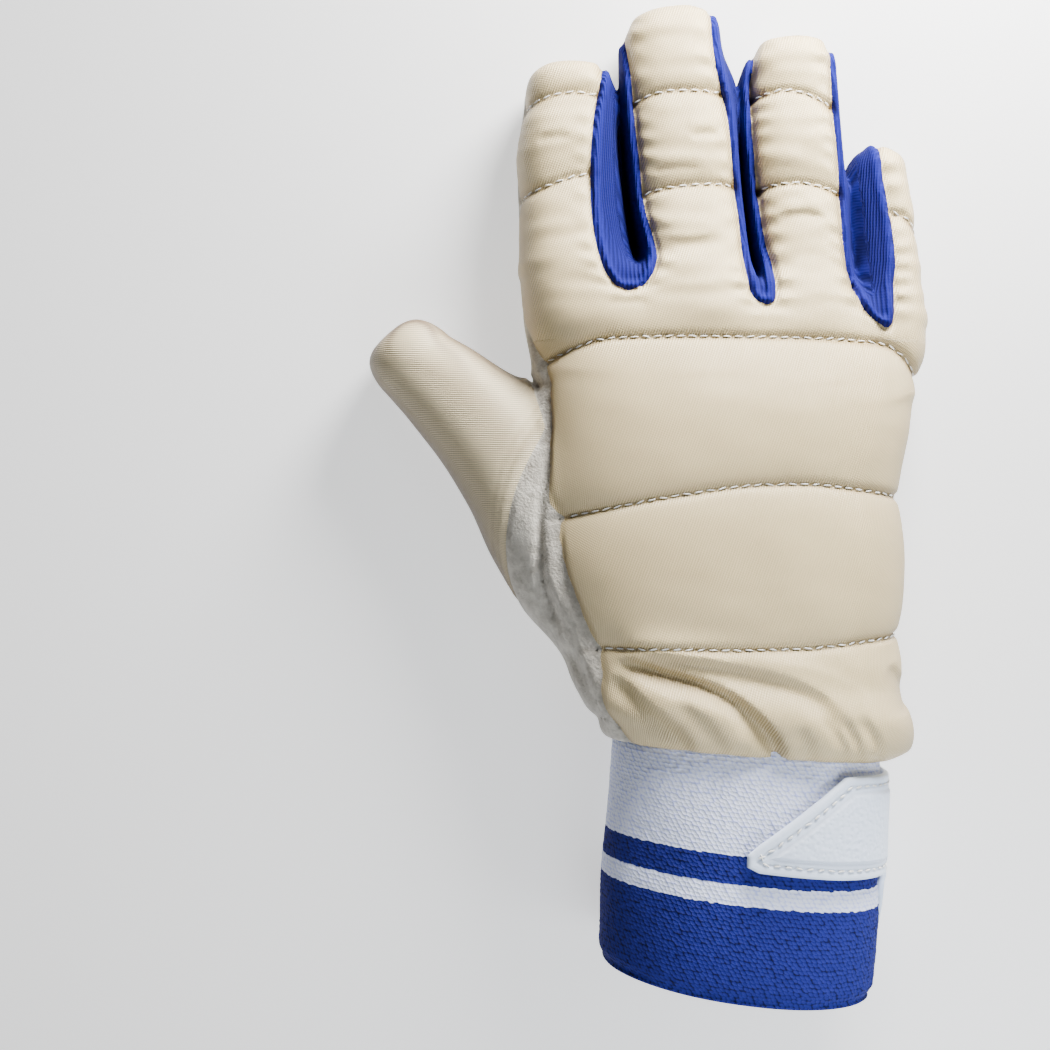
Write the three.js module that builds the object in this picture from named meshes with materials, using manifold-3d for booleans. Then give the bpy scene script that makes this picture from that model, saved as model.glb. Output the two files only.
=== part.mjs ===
// A right-hand wicketkeeping inner glove, lying palm down with the back of the hand up.
// Millimetres. +X points to the little-finger side, +Y to the fingertips and +Z up from the surface.
// The tables count x and y from a point beside the thumb's root; FRAME_CENTRE moves the part's origin
// to the middle of its footprint.
import * as THREE from "three";
import { mergeVertices } from "three/addons/utils/BufferGeometryUtils.js";
import Module from "manifold-3d";

const wasm = await Module();
wasm.setup();

// Driving dimensions

const FRAME_CENTRE = { x: 32.2, y: 8.39 };
const WALL = { back: 4.0, palm: 2.0, side: 2.2, tip: 2.6 };
const SEAM_GAP = 0.3;
const SQUARENESS = { body: 2.5, finger: 2.5, thumb: 2.2, cuff: 2.4 };
const SIDES = { body: 32, finger: 16, thumb: 16, cuff: 32, lining: 20, fingerLining: 10 };
const QUILT = { depth: 1.5, halfWidth: 3.2, pinch: 0.35 };
const UNDER_FLOOR = -1.6; // sections dip this far below the surface and are cut flat on it
const BIG = 400;

// Hand: one row for each section across the palm, from the wrist hem to the knuckles.
// x, y: centre; w: half width; top: height; turn: degrees the section is turned; bow: forward arch.
const HAND = [
  { x: 57.6, y: -57.6, w: 37.4, top: 45.4, turn: -4.4, bow: 0.0 },
  { x: 59.2, y: -54.4, w: 40.8, top: 47.0, turn: -4.4, bow: 0.5 },
  { x: 57.6, y: -48.5, w: 42.8, top: 47.8, turn: -3.5, bow: 1.0 },
  { x: 55.0, y: -40.0, w: 43.2, top: 45.4, turn: -2.0, bow: 1.5 },
  { x: 53.4, y: -20.0, w: 45.4, top: 43.6, turn: 0.0, bow: 2.5 },
  { x: 52.5, y: -6.0, w: 46.7, top: 42.6, turn: 1.0, bow: 3.0 },
  { x: 52.0, y: 10.0, w: 46.8, top: 41.2, turn: 1.5, bow: 3.5 },
  { x: 52.9, y: 26.0, w: 48.2, top: 39.4, turn: 0.0, bow: 4.0 },
  { x: 53.1, y: 38.0, w: 50.2, top: 36.6, turn: -2.5, bow: 4.0 },
  { x: 52.6, y: 50.0, w: 51.6, top: 33.4, turn: -5.0, bow: 4.0 },
  { x: 52.9, y: 58.0, w: 51.0, top: 30.0, turn: -7.0, bow: 3.5 },
];
const HAND_QUILTS = [-31, 6, 42]; // y of each stitched line across the back
const HAND_END = { length: 4.5, steps: 2 };

// Folds that the elastic pulls into the back: each a valley from one point to another.
const FOLDS = [
  { fromX: 20, fromY: -33, toX: 42, toY: -42, depth: 2.6, width: 3.0 },
  { fromX: 42, fromY: -42, toX: 55, toY: -48.5, depth: 3.2, width: 3.2 },
  { fromX: 55, fromY: -48.5, toX: 63, toY: -58, depth: 3.4, width: 2.8 },
  { fromX: 24, fromY: -31, toX: 67, toY: -36.5, depth: 1.6, width: 2.4 },
  { fromX: 67, fromY: -36.5, toX: 84, toY: -45, depth: 1.8, width: 3.0 },
  { fromX: 74, fromY: -44, toX: 80.5, toY: -58, depth: 2.0, width: 2.2 },
  { fromX: 84, fromY: -45, toX: 87, toY: -58, depth: 2.2, width: 2.4 },
];
const FOLD_ROWS = { from: -56, to: -35, step: 4 };

// Fingers: one row for each section, from inside the hand to where the tip starts to round.
// onLeft and onRight are where the back panel's edge runs, from the section's centre.
const FINGERS = {
  index: {
    turn: 0,
    cap: 8.8,
    quilts: [89, 111],
    rows: [
      { x: 18.4, y: 43, w: 12.4, top: 27.0 },
      { x: 16.6, y: 52, w: 14.2, top: 30.6 },
      { x: 14.4, y: 64, w: 14.8, top: 29.4 },
      { x: 11.9, y: 86, w: 14.4, top: 26.0 },
      { x: 11.5, y: 101, w: 13.9, top: 25.0 },
      { x: 12.0, y: 113.4, w: 12.8, top: 23.4 },
    ],
    onLeft: -40,
    onRight: 5.4,
  },
  middle: {
    turn: 5.5,
    cap: 9.6,
    quilts: [86.5, 111.5],
    rows: [
      { x: 48.0, y: 43, w: 12.6, top: 30.0 },
      { x: 46.8, y: 52, w: 14.2, top: 32.4 },
      { x: 45.0, y: 70, w: 15.1, top: 29.6 },
      { x: 42.8, y: 87, w: 15.5, top: 27.2 },
      { x: 41.9, y: 101, w: 15.3, top: 26.2 },
      { x: 40.1, y: 117, w: 15.0, top: 25.0 },
      { x: 39.2, y: 126.8, w: 13.9, top: 23.6 },
    ],
    onLeft: -11.6,
    onRight: 11.6,
  },
  ring: {
    turn: 3,
    cap: 9.2,
    quilts: [87, 111],
    rows: [
      { x: 75.6, y: 41, w: 11.2, top: 28.0 },
      { x: 74.8, y: 50, w: 12.4, top: 30.6 },
      { x: 73.6, y: 69, w: 12.6, top: 28.2 },
      { x: 72.5, y: 87, w: 13.1, top: 26.2 },
      { x: 71.4, y: 101, w: 13.2, top: 25.4 },
      { x: 70.9, y: 110, w: 13.0, top: 24.8 },
      { x: 71.0, y: 119.4, w: 12.2, top: 23.4 },
    ],
    onLeft: -10.6,
    onRight: 10.0,
  },
  little: {
    turn: -3,
    cap: 8.4,
    quilts: [79.5],
    rows: [
      { x: 94.4, y: 36, w: 7.0, top: 25.0 },
      { x: 96.4, y: 46, w: 8.6, top: 26.8 },
      { x: 96.2, y: 60, w: 9.6, top: 25.4 },
      { x: 96.0, y: 75, w: 9.7, top: 23.6 },
      { x: 95.0, y: 86, w: 9.2, top: 22.4 },
      { x: 94.2, y: 91.0, w: 8.5, top: 21.6 },
    ],
    onLeft: -1.6,
    onRight: 40,
  },
};
const FINGER_BOW = 1.6;

// Fourchettes: the knitted strips between two fingers. crotch is the y of the strip's rounded foot
// on the back and on the palm; narrower is how much less of each finger it takes on the palm side.
const FOURCHETTES = [
  { name: "fourchette_index_middle", left: "index", right: "middle", crotch: 60.4, palmCrotch: 52 },
  { name: "fourchette_middle_ring", left: "middle", right: "ring", crotch: 56.0, palmCrotch: 48 },
  { name: "fourchette_ring_little", left: "ring", right: "little", crotch: 50.6, palmCrotch: 44 },
];
const FOURCHETTE = { palmNarrower: 1.8, splitHeight: 12.5, beyondTip: 3.2 };

// Thumb: rows from its root inside the palm to where the tip rounds.
const THUMB = {
  cap: 11.4,
  rows: [
    { x: 25.0, y: -21.0, w: 19.0, top: 30.4, turn: 49 },
    { x: 14.0, y: -7.0, w: 21.5, top: 31, turn: 49 },
    { x: 5.0, y: 6.0, w: 20.4, top: 30, turn: 49 },
    { x: -4.0, y: 18.6, w: 17.4, top: 28, turn: 49 },
    { x: -14.0, y: 29.6, w: 14.6, top: 26.4, turn: 48 },
    { x: -21.6, y: 36.8, w: 13.0, top: 25, turn: 46 },
    { x: -28.6, y: 42.8, w: 11.6, top: 23.4, turn: 42 },
  ],
  seamHeight: 11.5,
};
// The seam where the thumb is set into the palm lies in this plane.
const THUMB_SEAM = {
  point: new THREE.Vector3(-1.6, -3, 22),
  towardsTip: new THREE.Vector3(-0.707, 0.277, -0.65).normalize(),
  bandWidth: 7.5,
};

// The side seam between back and palm: its height on the thumb side and on the little-finger side.
const SIDE_SEAM = [
  { y: -90, thumbSide: 37, littleSide: 13 },
  { y: -38, thumbSide: 37, littleSide: 13 },
  { y: -24, thumbSide: 34.5, littleSide: 13 },
  { y: 7, thumbSide: 30, littleSide: 12 },
  { y: 25, thumbSide: 27.5, littleSide: 12 },
  { y: 38, thumbSide: 25, littleSide: 11 },
  { y: 50, thumbSide: 20, littleSide: 10 },
  { y: 60, thumbSide: 12, littleSide: 9 },
  { y: 72, thumbSide: 9, littleSide: 9 },
  { y: 170, thumbSide: 9, littleSide: 9 },
];
const SEAM_ACROSS = { thumbSideUpTo: 30, littleSideFrom: 80 };

// Wrist: a woven elastic cuff, 2 1/2 inches deep, split under the strap.
// down: depth below the cuff's top; x, y: the section's centre; bow: how far its back hangs down.
const CUFF = { low: 0.6, rest: 2.8, wall: 2.4, splitAt: 23, splitWidth: 4 };
const CUFF_ROWS = [
  { down: -3.5, x: 57.8, y: -54.0, turn: -4.3, w: 34.2, top: 42.6, bow: 0 },
  { down: 4, x: 57.4, y: -61.4, turn: -4.4, w: 34.8, top: 43.6, bow: 0 },
  { down: 22, x: 56.4, y: -79.4, turn: -5.7, w: 35.1, top: 44.2, bow: 0.6 },
  { down: 42, x: 55.6, y: -99.0, turn: -6.8, w: 36.1, top: 44.2, bow: 1.2 },
  { down: 56, x: 55.0, y: -112.8, turn: -7.3, w: 36.0, top: 43.6, bow: 2.0 },
  { down: 59.6, x: 54.8, y: -116.4, turn: -7.6, w: 34.9, top: 42.6, bow: 2.2 },
];

// Strap: round is the distance round the cuff from the sewn tab on the back, over the little-finger
// side and under the palm; from and to are the depths of its two edges below the cuff's top.
const STRAP = { thickness: 2.2, clear: 0.6, tabAt: -1.4, step: 4 };
const STRAP_OUTLINE = [
  { round: 0, from: 23.6, to: 26.4 },
  { round: 3, from: 20.8, to: 27.6 },
  { round: 25, from: 3.8, to: 28.2 },
  { round: 31, from: 3.4, to: 28.2 },
  { round: 43, from: 3.4, to: 28.2 },
  { round: 49, from: 3.4, to: 32 },
  { round: 53, from: 3.4, to: 41 },
  { round: 57, from: 3.4, to: 48 },
  { round: 63, from: 3.4, to: 51 },
  { round: 90, from: 3.4, to: 51 },
  { round: 112, from: 4.0, to: 50 },
  { round: 122, from: 7.5, to: 42.5 },
  { round: 131, from: 13.5, to: 35.5 },
  { round: 137, from: 20, to: 31 },
];

// Vent: a bound slit in the heel of the palm, running out to the little-finger side.
const VENT = { x: 83, y: -64, angle: 41, length: 40, binding: 5, slit: 1.0, height: 14 };

const COLOURS = {
  satin: 0xe3d3b0,
  suede: 0xcfc8b6,
  jersey: 0xdccdb2,
  knitBlue: 0x1f2f8f,
  binding: 0x151f5c,
  elastic: 0xe6e2f2,
  strap: 0xebebe6,
};

// Helpers

const radians = THREE.MathUtils.degToRad;
const power = (value, exponent) => Math.sign(value) * Math.abs(value) ** exponent;

/** A closed BufferGeometry as a solid that can be cut and joined. */
function solid(geometry) {
  const bare = new THREE.BufferGeometry().setAttribute("position", geometry.getAttribute("position"));
  if (geometry.index) bare.setIndex(geometry.index);
  const merged = mergeVertices(bare, 1e-3);
  const vertProperties = new Float32Array(merged.attributes.position.array);
  const triVerts = new Uint32Array(merged.index.array);
  return new wasm.Manifold(new wasm.Mesh({ numProp: 3, vertProperties, triVerts }));
}

/** Triangles between points, as a geometry. */
function geometryOf(points, faces) {
  return new THREE.BufferGeometry().setFromPoints(points).setIndex(faces);
}

/** Every number of a table at a place between two of its rows. */
function sample(rows, key, place) {
  if (place <= rows[0][key]) return { ...rows[0], [key]: place };
  const last = rows[rows.length - 1];
  if (place >= last[key]) return { ...last, [key]: place };
  const i = rows.findIndex((row) => row[key] > place);
  const [a, b] = [rows[i - 1], rows[i]];
  const t = (place - a[key]) / (b[key] - a[key]);
  return Object.fromEntries(Object.keys(a).map((k) => [k, THREE.MathUtils.lerp(a[k], b[k], t)]));
}

/** How far the deepest fold near a point draws the cloth in. */
function foldDepth(x, y) {
  const [here, nearest] = [new THREE.Vector3(x, y, 0), new THREE.Vector3()];
  return FOLDS.reduce((deepest, fold) => {
    const ends = [new THREE.Vector3(fold.fromX, fold.fromY, 0), new THREE.Vector3(fold.toX, fold.toY, 0)];
    new THREE.Line3(...ends).closestPointToPoint(here, true, nearest);
    return Math.max(deepest, fold.depth * Math.exp(-((here.distanceTo(nearest) / fold.width) ** 2)));
  }, 0);
}

/** The ring of points of one section. Its corners are as round as the squareness says. */
function ring(row, sides, squareness) {
  const turn = radians(row.turn ?? 0);
  const low = row.low ?? UNDER_FLOOR;
  const [middle, half] = [(row.top + low) / 2, (row.top - low) / 2];
  return Array.from({ length: sides }, (_, i) => {
    const angle = (2 * Math.PI * i) / sides;
    const across = power(Math.cos(angle), 2 / squareness);
    const up = power(Math.sin(angle), 2 / squareness);
    const ahead = (row.bow ?? 0) * (up > 0 ? 1 - across ** 2 : 0);
    const x = row.x + across * row.w * Math.cos(turn) - ahead * Math.sin(turn);
    const y = row.y + across * row.w * Math.sin(turn) + ahead * Math.cos(turn);
    const folded = row.folded && up > 0 ? foldDepth(x, y) * up : 0;
    return new THREE.Vector3(x, y, middle + up * half - folded);
  });
}

/** A closed solid through a list of rings. */
function throughRings(rings) {
  const sides = rings[0].length;
  const points = rings.flat();
  const faces = [];
  for (let r = 0; r + 1 < rings.length; r++)
    for (let j = 0; j < sides; j++) {
      const [a, d] = [r * sides + j, r * sides + ((j + 1) % sides)];
      faces.push(a, a + sides, d + sides, a, d + sides, d);
    }
  for (const [r, facesBack] of [[0, true], [rings.length - 1, false]]) {
    const centre = points.length;
    points.push(rings[r].reduce((sum, p) => sum.add(p), new THREE.Vector3()).divideScalar(sides));
    for (let j = 0; j < sides; j++) {
      const [a, b] = [r * sides + j, r * sides + ((j + 1) % sides)];
      faces.push(centre, facesBack ? a : b, facesBack ? b : a);
    }
  }
  return solid(geometryOf(points, faces));
}

/** A soft tube through a table of sections, with a rounded end past its last row. */
function tube(rows, sides, squareness, end) {
  const last = rows[rows.length - 1];
  const turn = radians(last.turn ?? 0);
  const low = last.low ?? UNDER_FLOOR;
  const [middle, half] = [(last.top + low) / 2, (last.top - low) / 2];
  const capped = [...rows];
  for (let i = 1; i <= end.steps; i++) {
    const angle = (i / end.steps) * radians(80);
    const [ahead, size] = [end.length * Math.sin(angle), Math.sqrt(Math.cos(angle))];
    capped.push({
      ...last,
      x: last.x - ahead * Math.sin(turn),
      y: last.y + ahead * Math.cos(turn),
      w: last.w * size,
      top: middle + half * size,
      low: middle - half * size,
    });
  }
  return throughRings(capped.map((row) => ring(row, sides, squareness)));
}

/** A table with rows added at each stitched line, where the padding is drawn in. */
function quilted(rows, lines, more = []) {
  const clear = (y) => lines.every((line) => Math.abs(y - line) > QUILT.halfWidth);
  const places = [...rows.map((row) => row.y), ...more].filter(clear);
  for (const line of lines) places.push(line - QUILT.halfWidth, line, line + QUILT.halfWidth);
  places.sort((a, b) => a - b);
  return places.map((y) => {
    const row = sample(rows, "y", y);
    const drawn = lines.includes(y);
    return drawn ? { ...row, top: row.top - QUILT.depth, w: row.w - QUILT.pinch } : row;
  });
}

/** The same sections taken in by the walls' thickness, or let out by a negative one. */
function inset(rows, walls, backwards = 0) {
  return rows.map((row, i) => ({
    ...row,
    y: row.y - (i === rows.length - 1 ? backwards : 0),
    w: row.w - walls.side,
    top: row.top - walls.back,
    low: (row.low ?? UNDER_FLOOR) + walls.palm,
  }));
}

/** A straight-sided solid over an outline in plan. */
function prism(outline, low, high) {
  const shape = new THREE.Shape(outline.map(([x, y]) => new THREE.Vector2(x, y)));
  const geometry = new THREE.ExtrudeGeometry(shape, { depth: high - low, bevelEnabled: false, steps: 1 });
  return solid(geometry.translate(0, 0, low));
}

/** All of space above a height. */
const above = (height) => prism([[-BIG, -BIG], [BIG, -BIG], [BIG, BIG], [-BIG, BIG]], height, BIG);

/** Everything under the side seam, whose height changes along and across the hand. */
function underSeam(shift) {
  const across = [-BIG, SEAM_ACROSS.thumbSideUpTo, SEAM_ACROSS.littleSideFrom, BIG];
  const rings = SIDE_SEAM.map((row) => {
    const heights = [row.thumbSide, row.thumbSide, row.littleSide, row.littleSide];
    const upper = across.map((x, i) => new THREE.Vector3(x, row.y, heights[i] + shift));
    return [new THREE.Vector3(-BIG, row.y, -BIG), new THREE.Vector3(BIG, row.y, -BIG), ...upper.reverse()];
  });
  return throughRings(rings);
}

/** The half of space on one side of a plane. */
function halfSpace(point, normal, ahead) {
  const box = new THREE.BoxGeometry(2 * BIG, 2 * BIG, BIG).translate(0, 0, BIG / 2 + ahead);
  const turn = new THREE.Quaternion().setFromUnitVectors(new THREE.Vector3(0, 0, 1), normal);
  return solid(box.applyQuaternion(turn).translate(point.x, point.y, point.z));
}

const join = (solids) => solids.reduce((a, b) => a.add(b));

// Hand, fingers and thumb, outside and inside

const BACK_WALLS = { back: WALL.back, palm: WALL.palm, side: WALL.side };
const THIN_WALLS = { back: WALL.side, palm: WALL.palm, side: WALL.side };
const THUMB_END = { length: THUMB.cap, steps: 3 };

const fingerRows = (finger) => finger.rows.map((row) => ({ ...row, turn: finger.turn, bow: FINGER_BOW }));

function fingerOutside(finger) {
  const rows = quilted(fingerRows(finger), finger.quilts);
  return tube(rows, SIDES.finger, SQUARENESS.finger, { length: finger.cap, steps: 3 });
}

function fingerInside(finger) {
  const inner = inset(fingerRows(finger), BACK_WALLS, WALL.tip);
  const rows = inner.filter((row, i) => i % 2 === 0 || i === inner.length - 1);
  return tube(rows, SIDES.fingerLining, SQUARENESS.finger, { length: finger.cap - 2, steps: 2 });
}

function handSections() {
  const more = [];
  for (let y = FOLD_ROWS.from; y < FOLD_ROWS.to; y += FOLD_ROWS.step) more.push(y);
  return quilted(HAND, HAND_QUILTS, more).map((row) => ({ ...row, folded: row.y < FOLD_ROWS.to + 8 }));
}

/** The hand's own outer form, let out by a distance. */
function handLetOut(by) {
  const rows = inset(handRows, { back: -by, palm: 0, side: -by });
  return tube(rows, SIDES.body, SQUARENESS.body, HAND_END);
}

const floor = above(0);
const innerFloor = above(WALL.palm);
const handRows = handSections();
const handOutside = handLetOut(0);
const aboveHem = inset(HAND.slice(1), BACK_WALLS);
const handInside = tube(aboveHem, SIDES.lining, SQUARENESS.body, { length: 2.5, steps: 1 });
const thumbOutside = tube(THUMB.rows, SIDES.thumb, SQUARENESS.thumb, THUMB_END);
const thumbLining = { length: THUMB.cap - 2, steps: 2 };
const thumbInside = tube(inset(THUMB.rows, THIN_WALLS), SIDES.fingerLining, SQUARENESS.thumb, thumbLining);
const thumbSide = halfSpace(THUMB_SEAM.point, THUMB_SEAM.towardsTip, SEAM_GAP);
const palmSide = halfSpace(THUMB_SEAM.point, THUMB_SEAM.towardsTip.clone().negate(), 0);
const fingers = Object.values(FINGERS);

// Cuff sections, which the hem's seat and the strap follow as well

/** A point of the cuff's outline, let out by an offset, at a depth below the cuff's top. */
function cuffPoint(angle, offset, down) {
  const row = sample(CUFF_ROWS, "down", down);
  const beyond = down - THREE.MathUtils.clamp(down, CUFF_ROWS[0].down, CUFF_ROWS.at(-1).down);
  const turn = radians(row.turn);
  const [middle, half] = [(row.top + CUFF.low) / 2, (row.top - CUFF.low) / 2];
  const across = power(Math.cos(angle), 2 / SQUARENESS.cuff);
  const up = power(Math.sin(angle), 2 / SQUARENESS.cuff);
  const ahead = -beyond - row.bow * (up > 0 ? 1 - across ** 2 : 0);
  return new THREE.Vector3(
    row.x + across * (row.w + offset) * Math.cos(turn) - ahead * Math.sin(turn),
    row.y + across * (row.w + offset) * Math.sin(turn) + ahead * Math.cos(turn),
    Math.max(middle + up * (half + offset), CUFF.rest - offset),
  );
}

/** The cuff's outer form, let out by an offset, through a list of depths from low to high. */
function cuffSolid(offset, downs) {
  const angles = Array.from({ length: SIDES.cuff }, (_, i) => (2 * Math.PI * i) / SIDES.cuff);
  return throughRings(downs.map((down) => angles.map((angle) => cuffPoint(angle, offset, down))));
}

const hemSeat = cuffSolid(SEAM_GAP, [20, 4, CUFF_ROWS[0].down - 0.6]);
const strapRoom = cuffSolid(STRAP.clear + STRAP.thickness + SEAM_GAP, [30, 2.9]);

// Shells

const thumbRoot = (shape) => shape.intersect(palmSide);
const outside = join([handOutside, ...fingers.map(fingerOutside), thumbRoot(thumbOutside)]).intersect(floor);
const hollow = join([handInside, ...fingers.map(fingerInside), thumbRoot(thumbInside)]).intersect(innerFloor);
const handShell = outside.subtract(hollow).subtract(hemSeat).subtract(strapRoom);

const letOut = { back: -SEAM_GAP, palm: 0, side: -SEAM_GAP };
const indexRoom = tube(inset(fingerRows(FINGERS.index), letOut), SIDES.finger, SQUARENESS.finger, {
  length: FINGERS.index.cap,
  steps: 2,
});
const thumbHollow = thumbInside.intersect(innerFloor).subtract(handLetOut(SEAM_GAP + WALL.palm));
const thumbShell = thumbOutside
  .intersect(thumbSide)
  .intersect(floor)
  .subtract(handLetOut(SEAM_GAP))
  .subtract(indexRoom)
  .subtract(thumbHollow);

// Where each fourchette runs, in plan

/** Points along one finger's edge of a fourchette, from its foot to its tip. */
function edgeOf(finger, side, foot, inwards) {
  const end = finger.rows[finger.rows.length - 1].y + finger.cap + FOURCHETTE.beyondTip;
  const offset = side === "right" ? finger.onRight - inwards : finger.onLeft + inwards;
  const places = [foot, ...finger.rows.map((row) => row.y).filter((y) => y > foot + 8), end];
  return places.map((y) => [sample(finger.rows, "y", y).x + offset, y]);
}

/** A fourchette's outline: up both fingers, with a round foot. grow widens it all round. */
function fourchetteOutline(strip, crotch, narrower, grow) {
  const left = edgeOf(FINGERS[strip.left], "right", crotch + 7, grow - narrower);
  const right = edgeOf(FINGERS[strip.right], "left", crotch + 7, grow - narrower);
  const [a, b] = [left[0], right[0]];
  const foot = [0.12, 0.3, 0.5, 0.7, 0.88].map((t) => {
    const lift = 7 * (1 - Math.sin(Math.PI * t) ** 0.7);
    return [THREE.MathUtils.lerp(a[0], b[0], t), crotch - grow + lift];
  });
  return [...left.reverse(), ...foot, ...right];
}

/** The room that a fourchette takes of the shell, above and below its split height. */
function fourchetteRoom(strip, grow) {
  const { palmNarrower, splitHeight } = FOURCHETTE;
  const upper = prism(fourchetteOutline(strip, strip.crotch, 0, grow), splitHeight - grow, 60);
  const lower = prism(fourchetteOutline(strip, strip.palmCrotch, palmNarrower, grow), -5, splitHeight + grow);
  return upper.add(lower);
}

// Vent in the palm's heel

const ventAlong = new THREE.Vector2(Math.cos(radians(VENT.angle)), Math.sin(radians(VENT.angle)));
const ventOut = new THREE.Vector2(ventAlong.y, -ventAlong.x); // towards the little-finger side

/** A strip beside the vent's line, between two distances from it. */
function besideVent(from, to, height) {
  const at = (along, out) => [
    VENT.x + ventAlong.x * along + ventOut.x * out,
    VENT.y + ventAlong.y * along + ventOut.y * out,
  ];
  return prism([at(-30, from), at(-30, to), at(VENT.length, to), at(VENT.length, from)], -5, height);
}

const ventCorner = besideVent(VENT.slit, 60, VENT.height);
const ventStrip = besideVent(-VENT.binding, 0, VENT.height);
const ventRoom = besideVent(-VENT.binding - SEAM_GAP, 60, VENT.height);

// Pieces cut from the shells

function backPanel() {
  const top = handShell.subtract(underSeam(SEAM_GAP / 2));
  const rooms = FOURCHETTES.map((strip) => fourchetteRoom(strip, SEAM_GAP));
  const wrapped = handShell.intersect(ventCorner).intersect(underSeam(SEAM_GAP / 2 + 0.1));
  return join([rooms.reduce((rest, room) => rest.subtract(room), top), wrapped]);
}

function palmPanel() {
  const bottom = handShell.intersect(underSeam(-SEAM_GAP / 2));
  const rooms = FOURCHETTES.map((strip) => fourchetteRoom(strip, SEAM_GAP));
  return [...rooms, ventRoom].reduce((rest, room) => rest.subtract(room), bottom);
}

const fourchette = (strip) => handShell.intersect(fourchetteRoom(strip, 0));

function ventBinding() {
  return handShell.intersect(ventStrip).intersect(underSeam(-SEAM_GAP / 2));
}

const thumbUpper = above(THUMB.seamHeight + SEAM_GAP / 2);
const bandPlane = (ahead) => halfSpace(THUMB_SEAM.point, THUMB_SEAM.towardsTip, ahead);
const thumbLower = (from) => thumbShell.subtract(above(THUMB.seamHeight - SEAM_GAP / 2)).intersect(bandPlane(from));

const thumbBack = () => thumbShell.intersect(thumbUpper);
const thumbFront = () => thumbLower(THUMB_SEAM.bandWidth + SEAM_GAP);
const thumbBaseBand = () => thumbLower(SEAM_GAP).subtract(bandPlane(THUMB_SEAM.bandWidth));

// Cuff and strap

function wristCuff() {
  const [top, bottom] = [CUFF_ROWS[0], CUFF_ROWS.at(-1)];
  const downs = CUFF_ROWS.map((row) => row.down).reverse();
  const open = [bottom.down + 5, ...downs.slice(1, -1), top.down - 5];
  const length = bottom.down - top.down + 20;
  const split = new THREE.BoxGeometry(CUFF.splitWidth, length, 12).translate(CUFF.splitAt, 0, 4);
  const middle = sample(CUFF_ROWS, "down", bottom.down / 2);
  split.rotateZ(radians(middle.turn)).translate(middle.x, middle.y, 0);
  return cuffSolid(0, downs).subtract(cuffSolid(-CUFF.wall, open)).subtract(solid(split));
}

/** Angles round the cuff at given distances from the tab's tip, over the little-finger side. */
function anglesRound(distances, offset) {
  const { w } = sample(CUFF_ROWS, "down", STRAP_OUTLINE[0].from);
  const start = Math.acos(power(STRAP.tabAt / w, SQUARENESS.cuff / 2));
  const step = radians(0.5);
  const found = [];
  let [angle, walked, before] = [start, 0, cuffPoint(start, offset, STRAP_OUTLINE[0].from)];
  for (const distance of distances) {
    while (walked < distance - 1e-6) {
      angle -= step;
      const here = cuffPoint(angle, offset, STRAP_OUTLINE[0].from);
      walked += here.distanceTo(before);
      before = here;
    }
    found.push(angle);
  }
  return found;
}

function wristStrap() {
  const corners = STRAP_OUTLINE.map((row) => row.round);
  const between = Array.from({ length: Math.floor(corners.at(-1) / STRAP.step) }, (_, i) => i * STRAP.step);
  const clear = between.filter((round) => corners.every((corner) => Math.abs(corner - round) > 1.6));
  const rounds = [...corners, ...clear].sort((a, b) => a - b);
  const angles = anglesRound(rounds, STRAP.clear + STRAP.thickness / 2);
  const across = [0, 1 / 3, 2 / 3, 1];
  const rings = rounds.map((round, i) => {
    const { from, to } = sample(STRAP_OUTLINE, "round", round);
    const line = (offset) => across.map((t) => cuffPoint(angles[i], offset, THREE.MathUtils.lerp(from, to, t)));
    return [...line(STRAP.clear), ...line(STRAP.clear + STRAP.thickness).reverse()];
  });
  return throughRings(rings);
}

// Scene graph

const glove = new THREE.Group();
glove.name = "wicketkeeping_inner_glove";
glove.position.set(-FRAME_CENTRE.x, -FRAME_CENTRE.y, 0);

function addPiece(name, shape, colour, roughness) {
  const { vertProperties, triVerts } = shape.getMesh();
  const geometry = new THREE.BufferGeometry();
  geometry.setAttribute("position", new THREE.BufferAttribute(new Float32Array(vertProperties), 3));
  geometry.setIndex(new THREE.BufferAttribute(new Uint32Array(triVerts), 1));
  geometry.computeVertexNormals();
  const material = new THREE.MeshStandardMaterial({ color: colour, roughness, metalness: 0 });
  const mesh = new THREE.Mesh(geometry, material);
  mesh.name = name;
  glove.add(mesh);
}

addPiece("back_panel", backPanel(), COLOURS.satin, 0.5);
addPiece("palm_panel", palmPanel(), COLOURS.suede, 0.95);
for (const strip of FOURCHETTES) addPiece(strip.name, fourchette(strip), COLOURS.knitBlue, 0.85);
addPiece("thumb_back", thumbBack(), COLOURS.jersey, 0.55);
addPiece("thumb_front", thumbFront(), COLOURS.suede, 0.95);
addPiece("thumb_base_band", thumbBaseBand(), COLOURS.suede, 0.95);
addPiece("vent_binding", ventBinding(), COLOURS.binding, 0.8);
addPiece("wrist_cuff", wristCuff(), COLOURS.elastic, 0.9);
addPiece("wrist_strap", wristStrap(), COLOURS.strap, 0.45);

export default glove;
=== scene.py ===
import logging
import math
from dataclasses import dataclass
from enum import Enum
from functools import reduce

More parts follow.
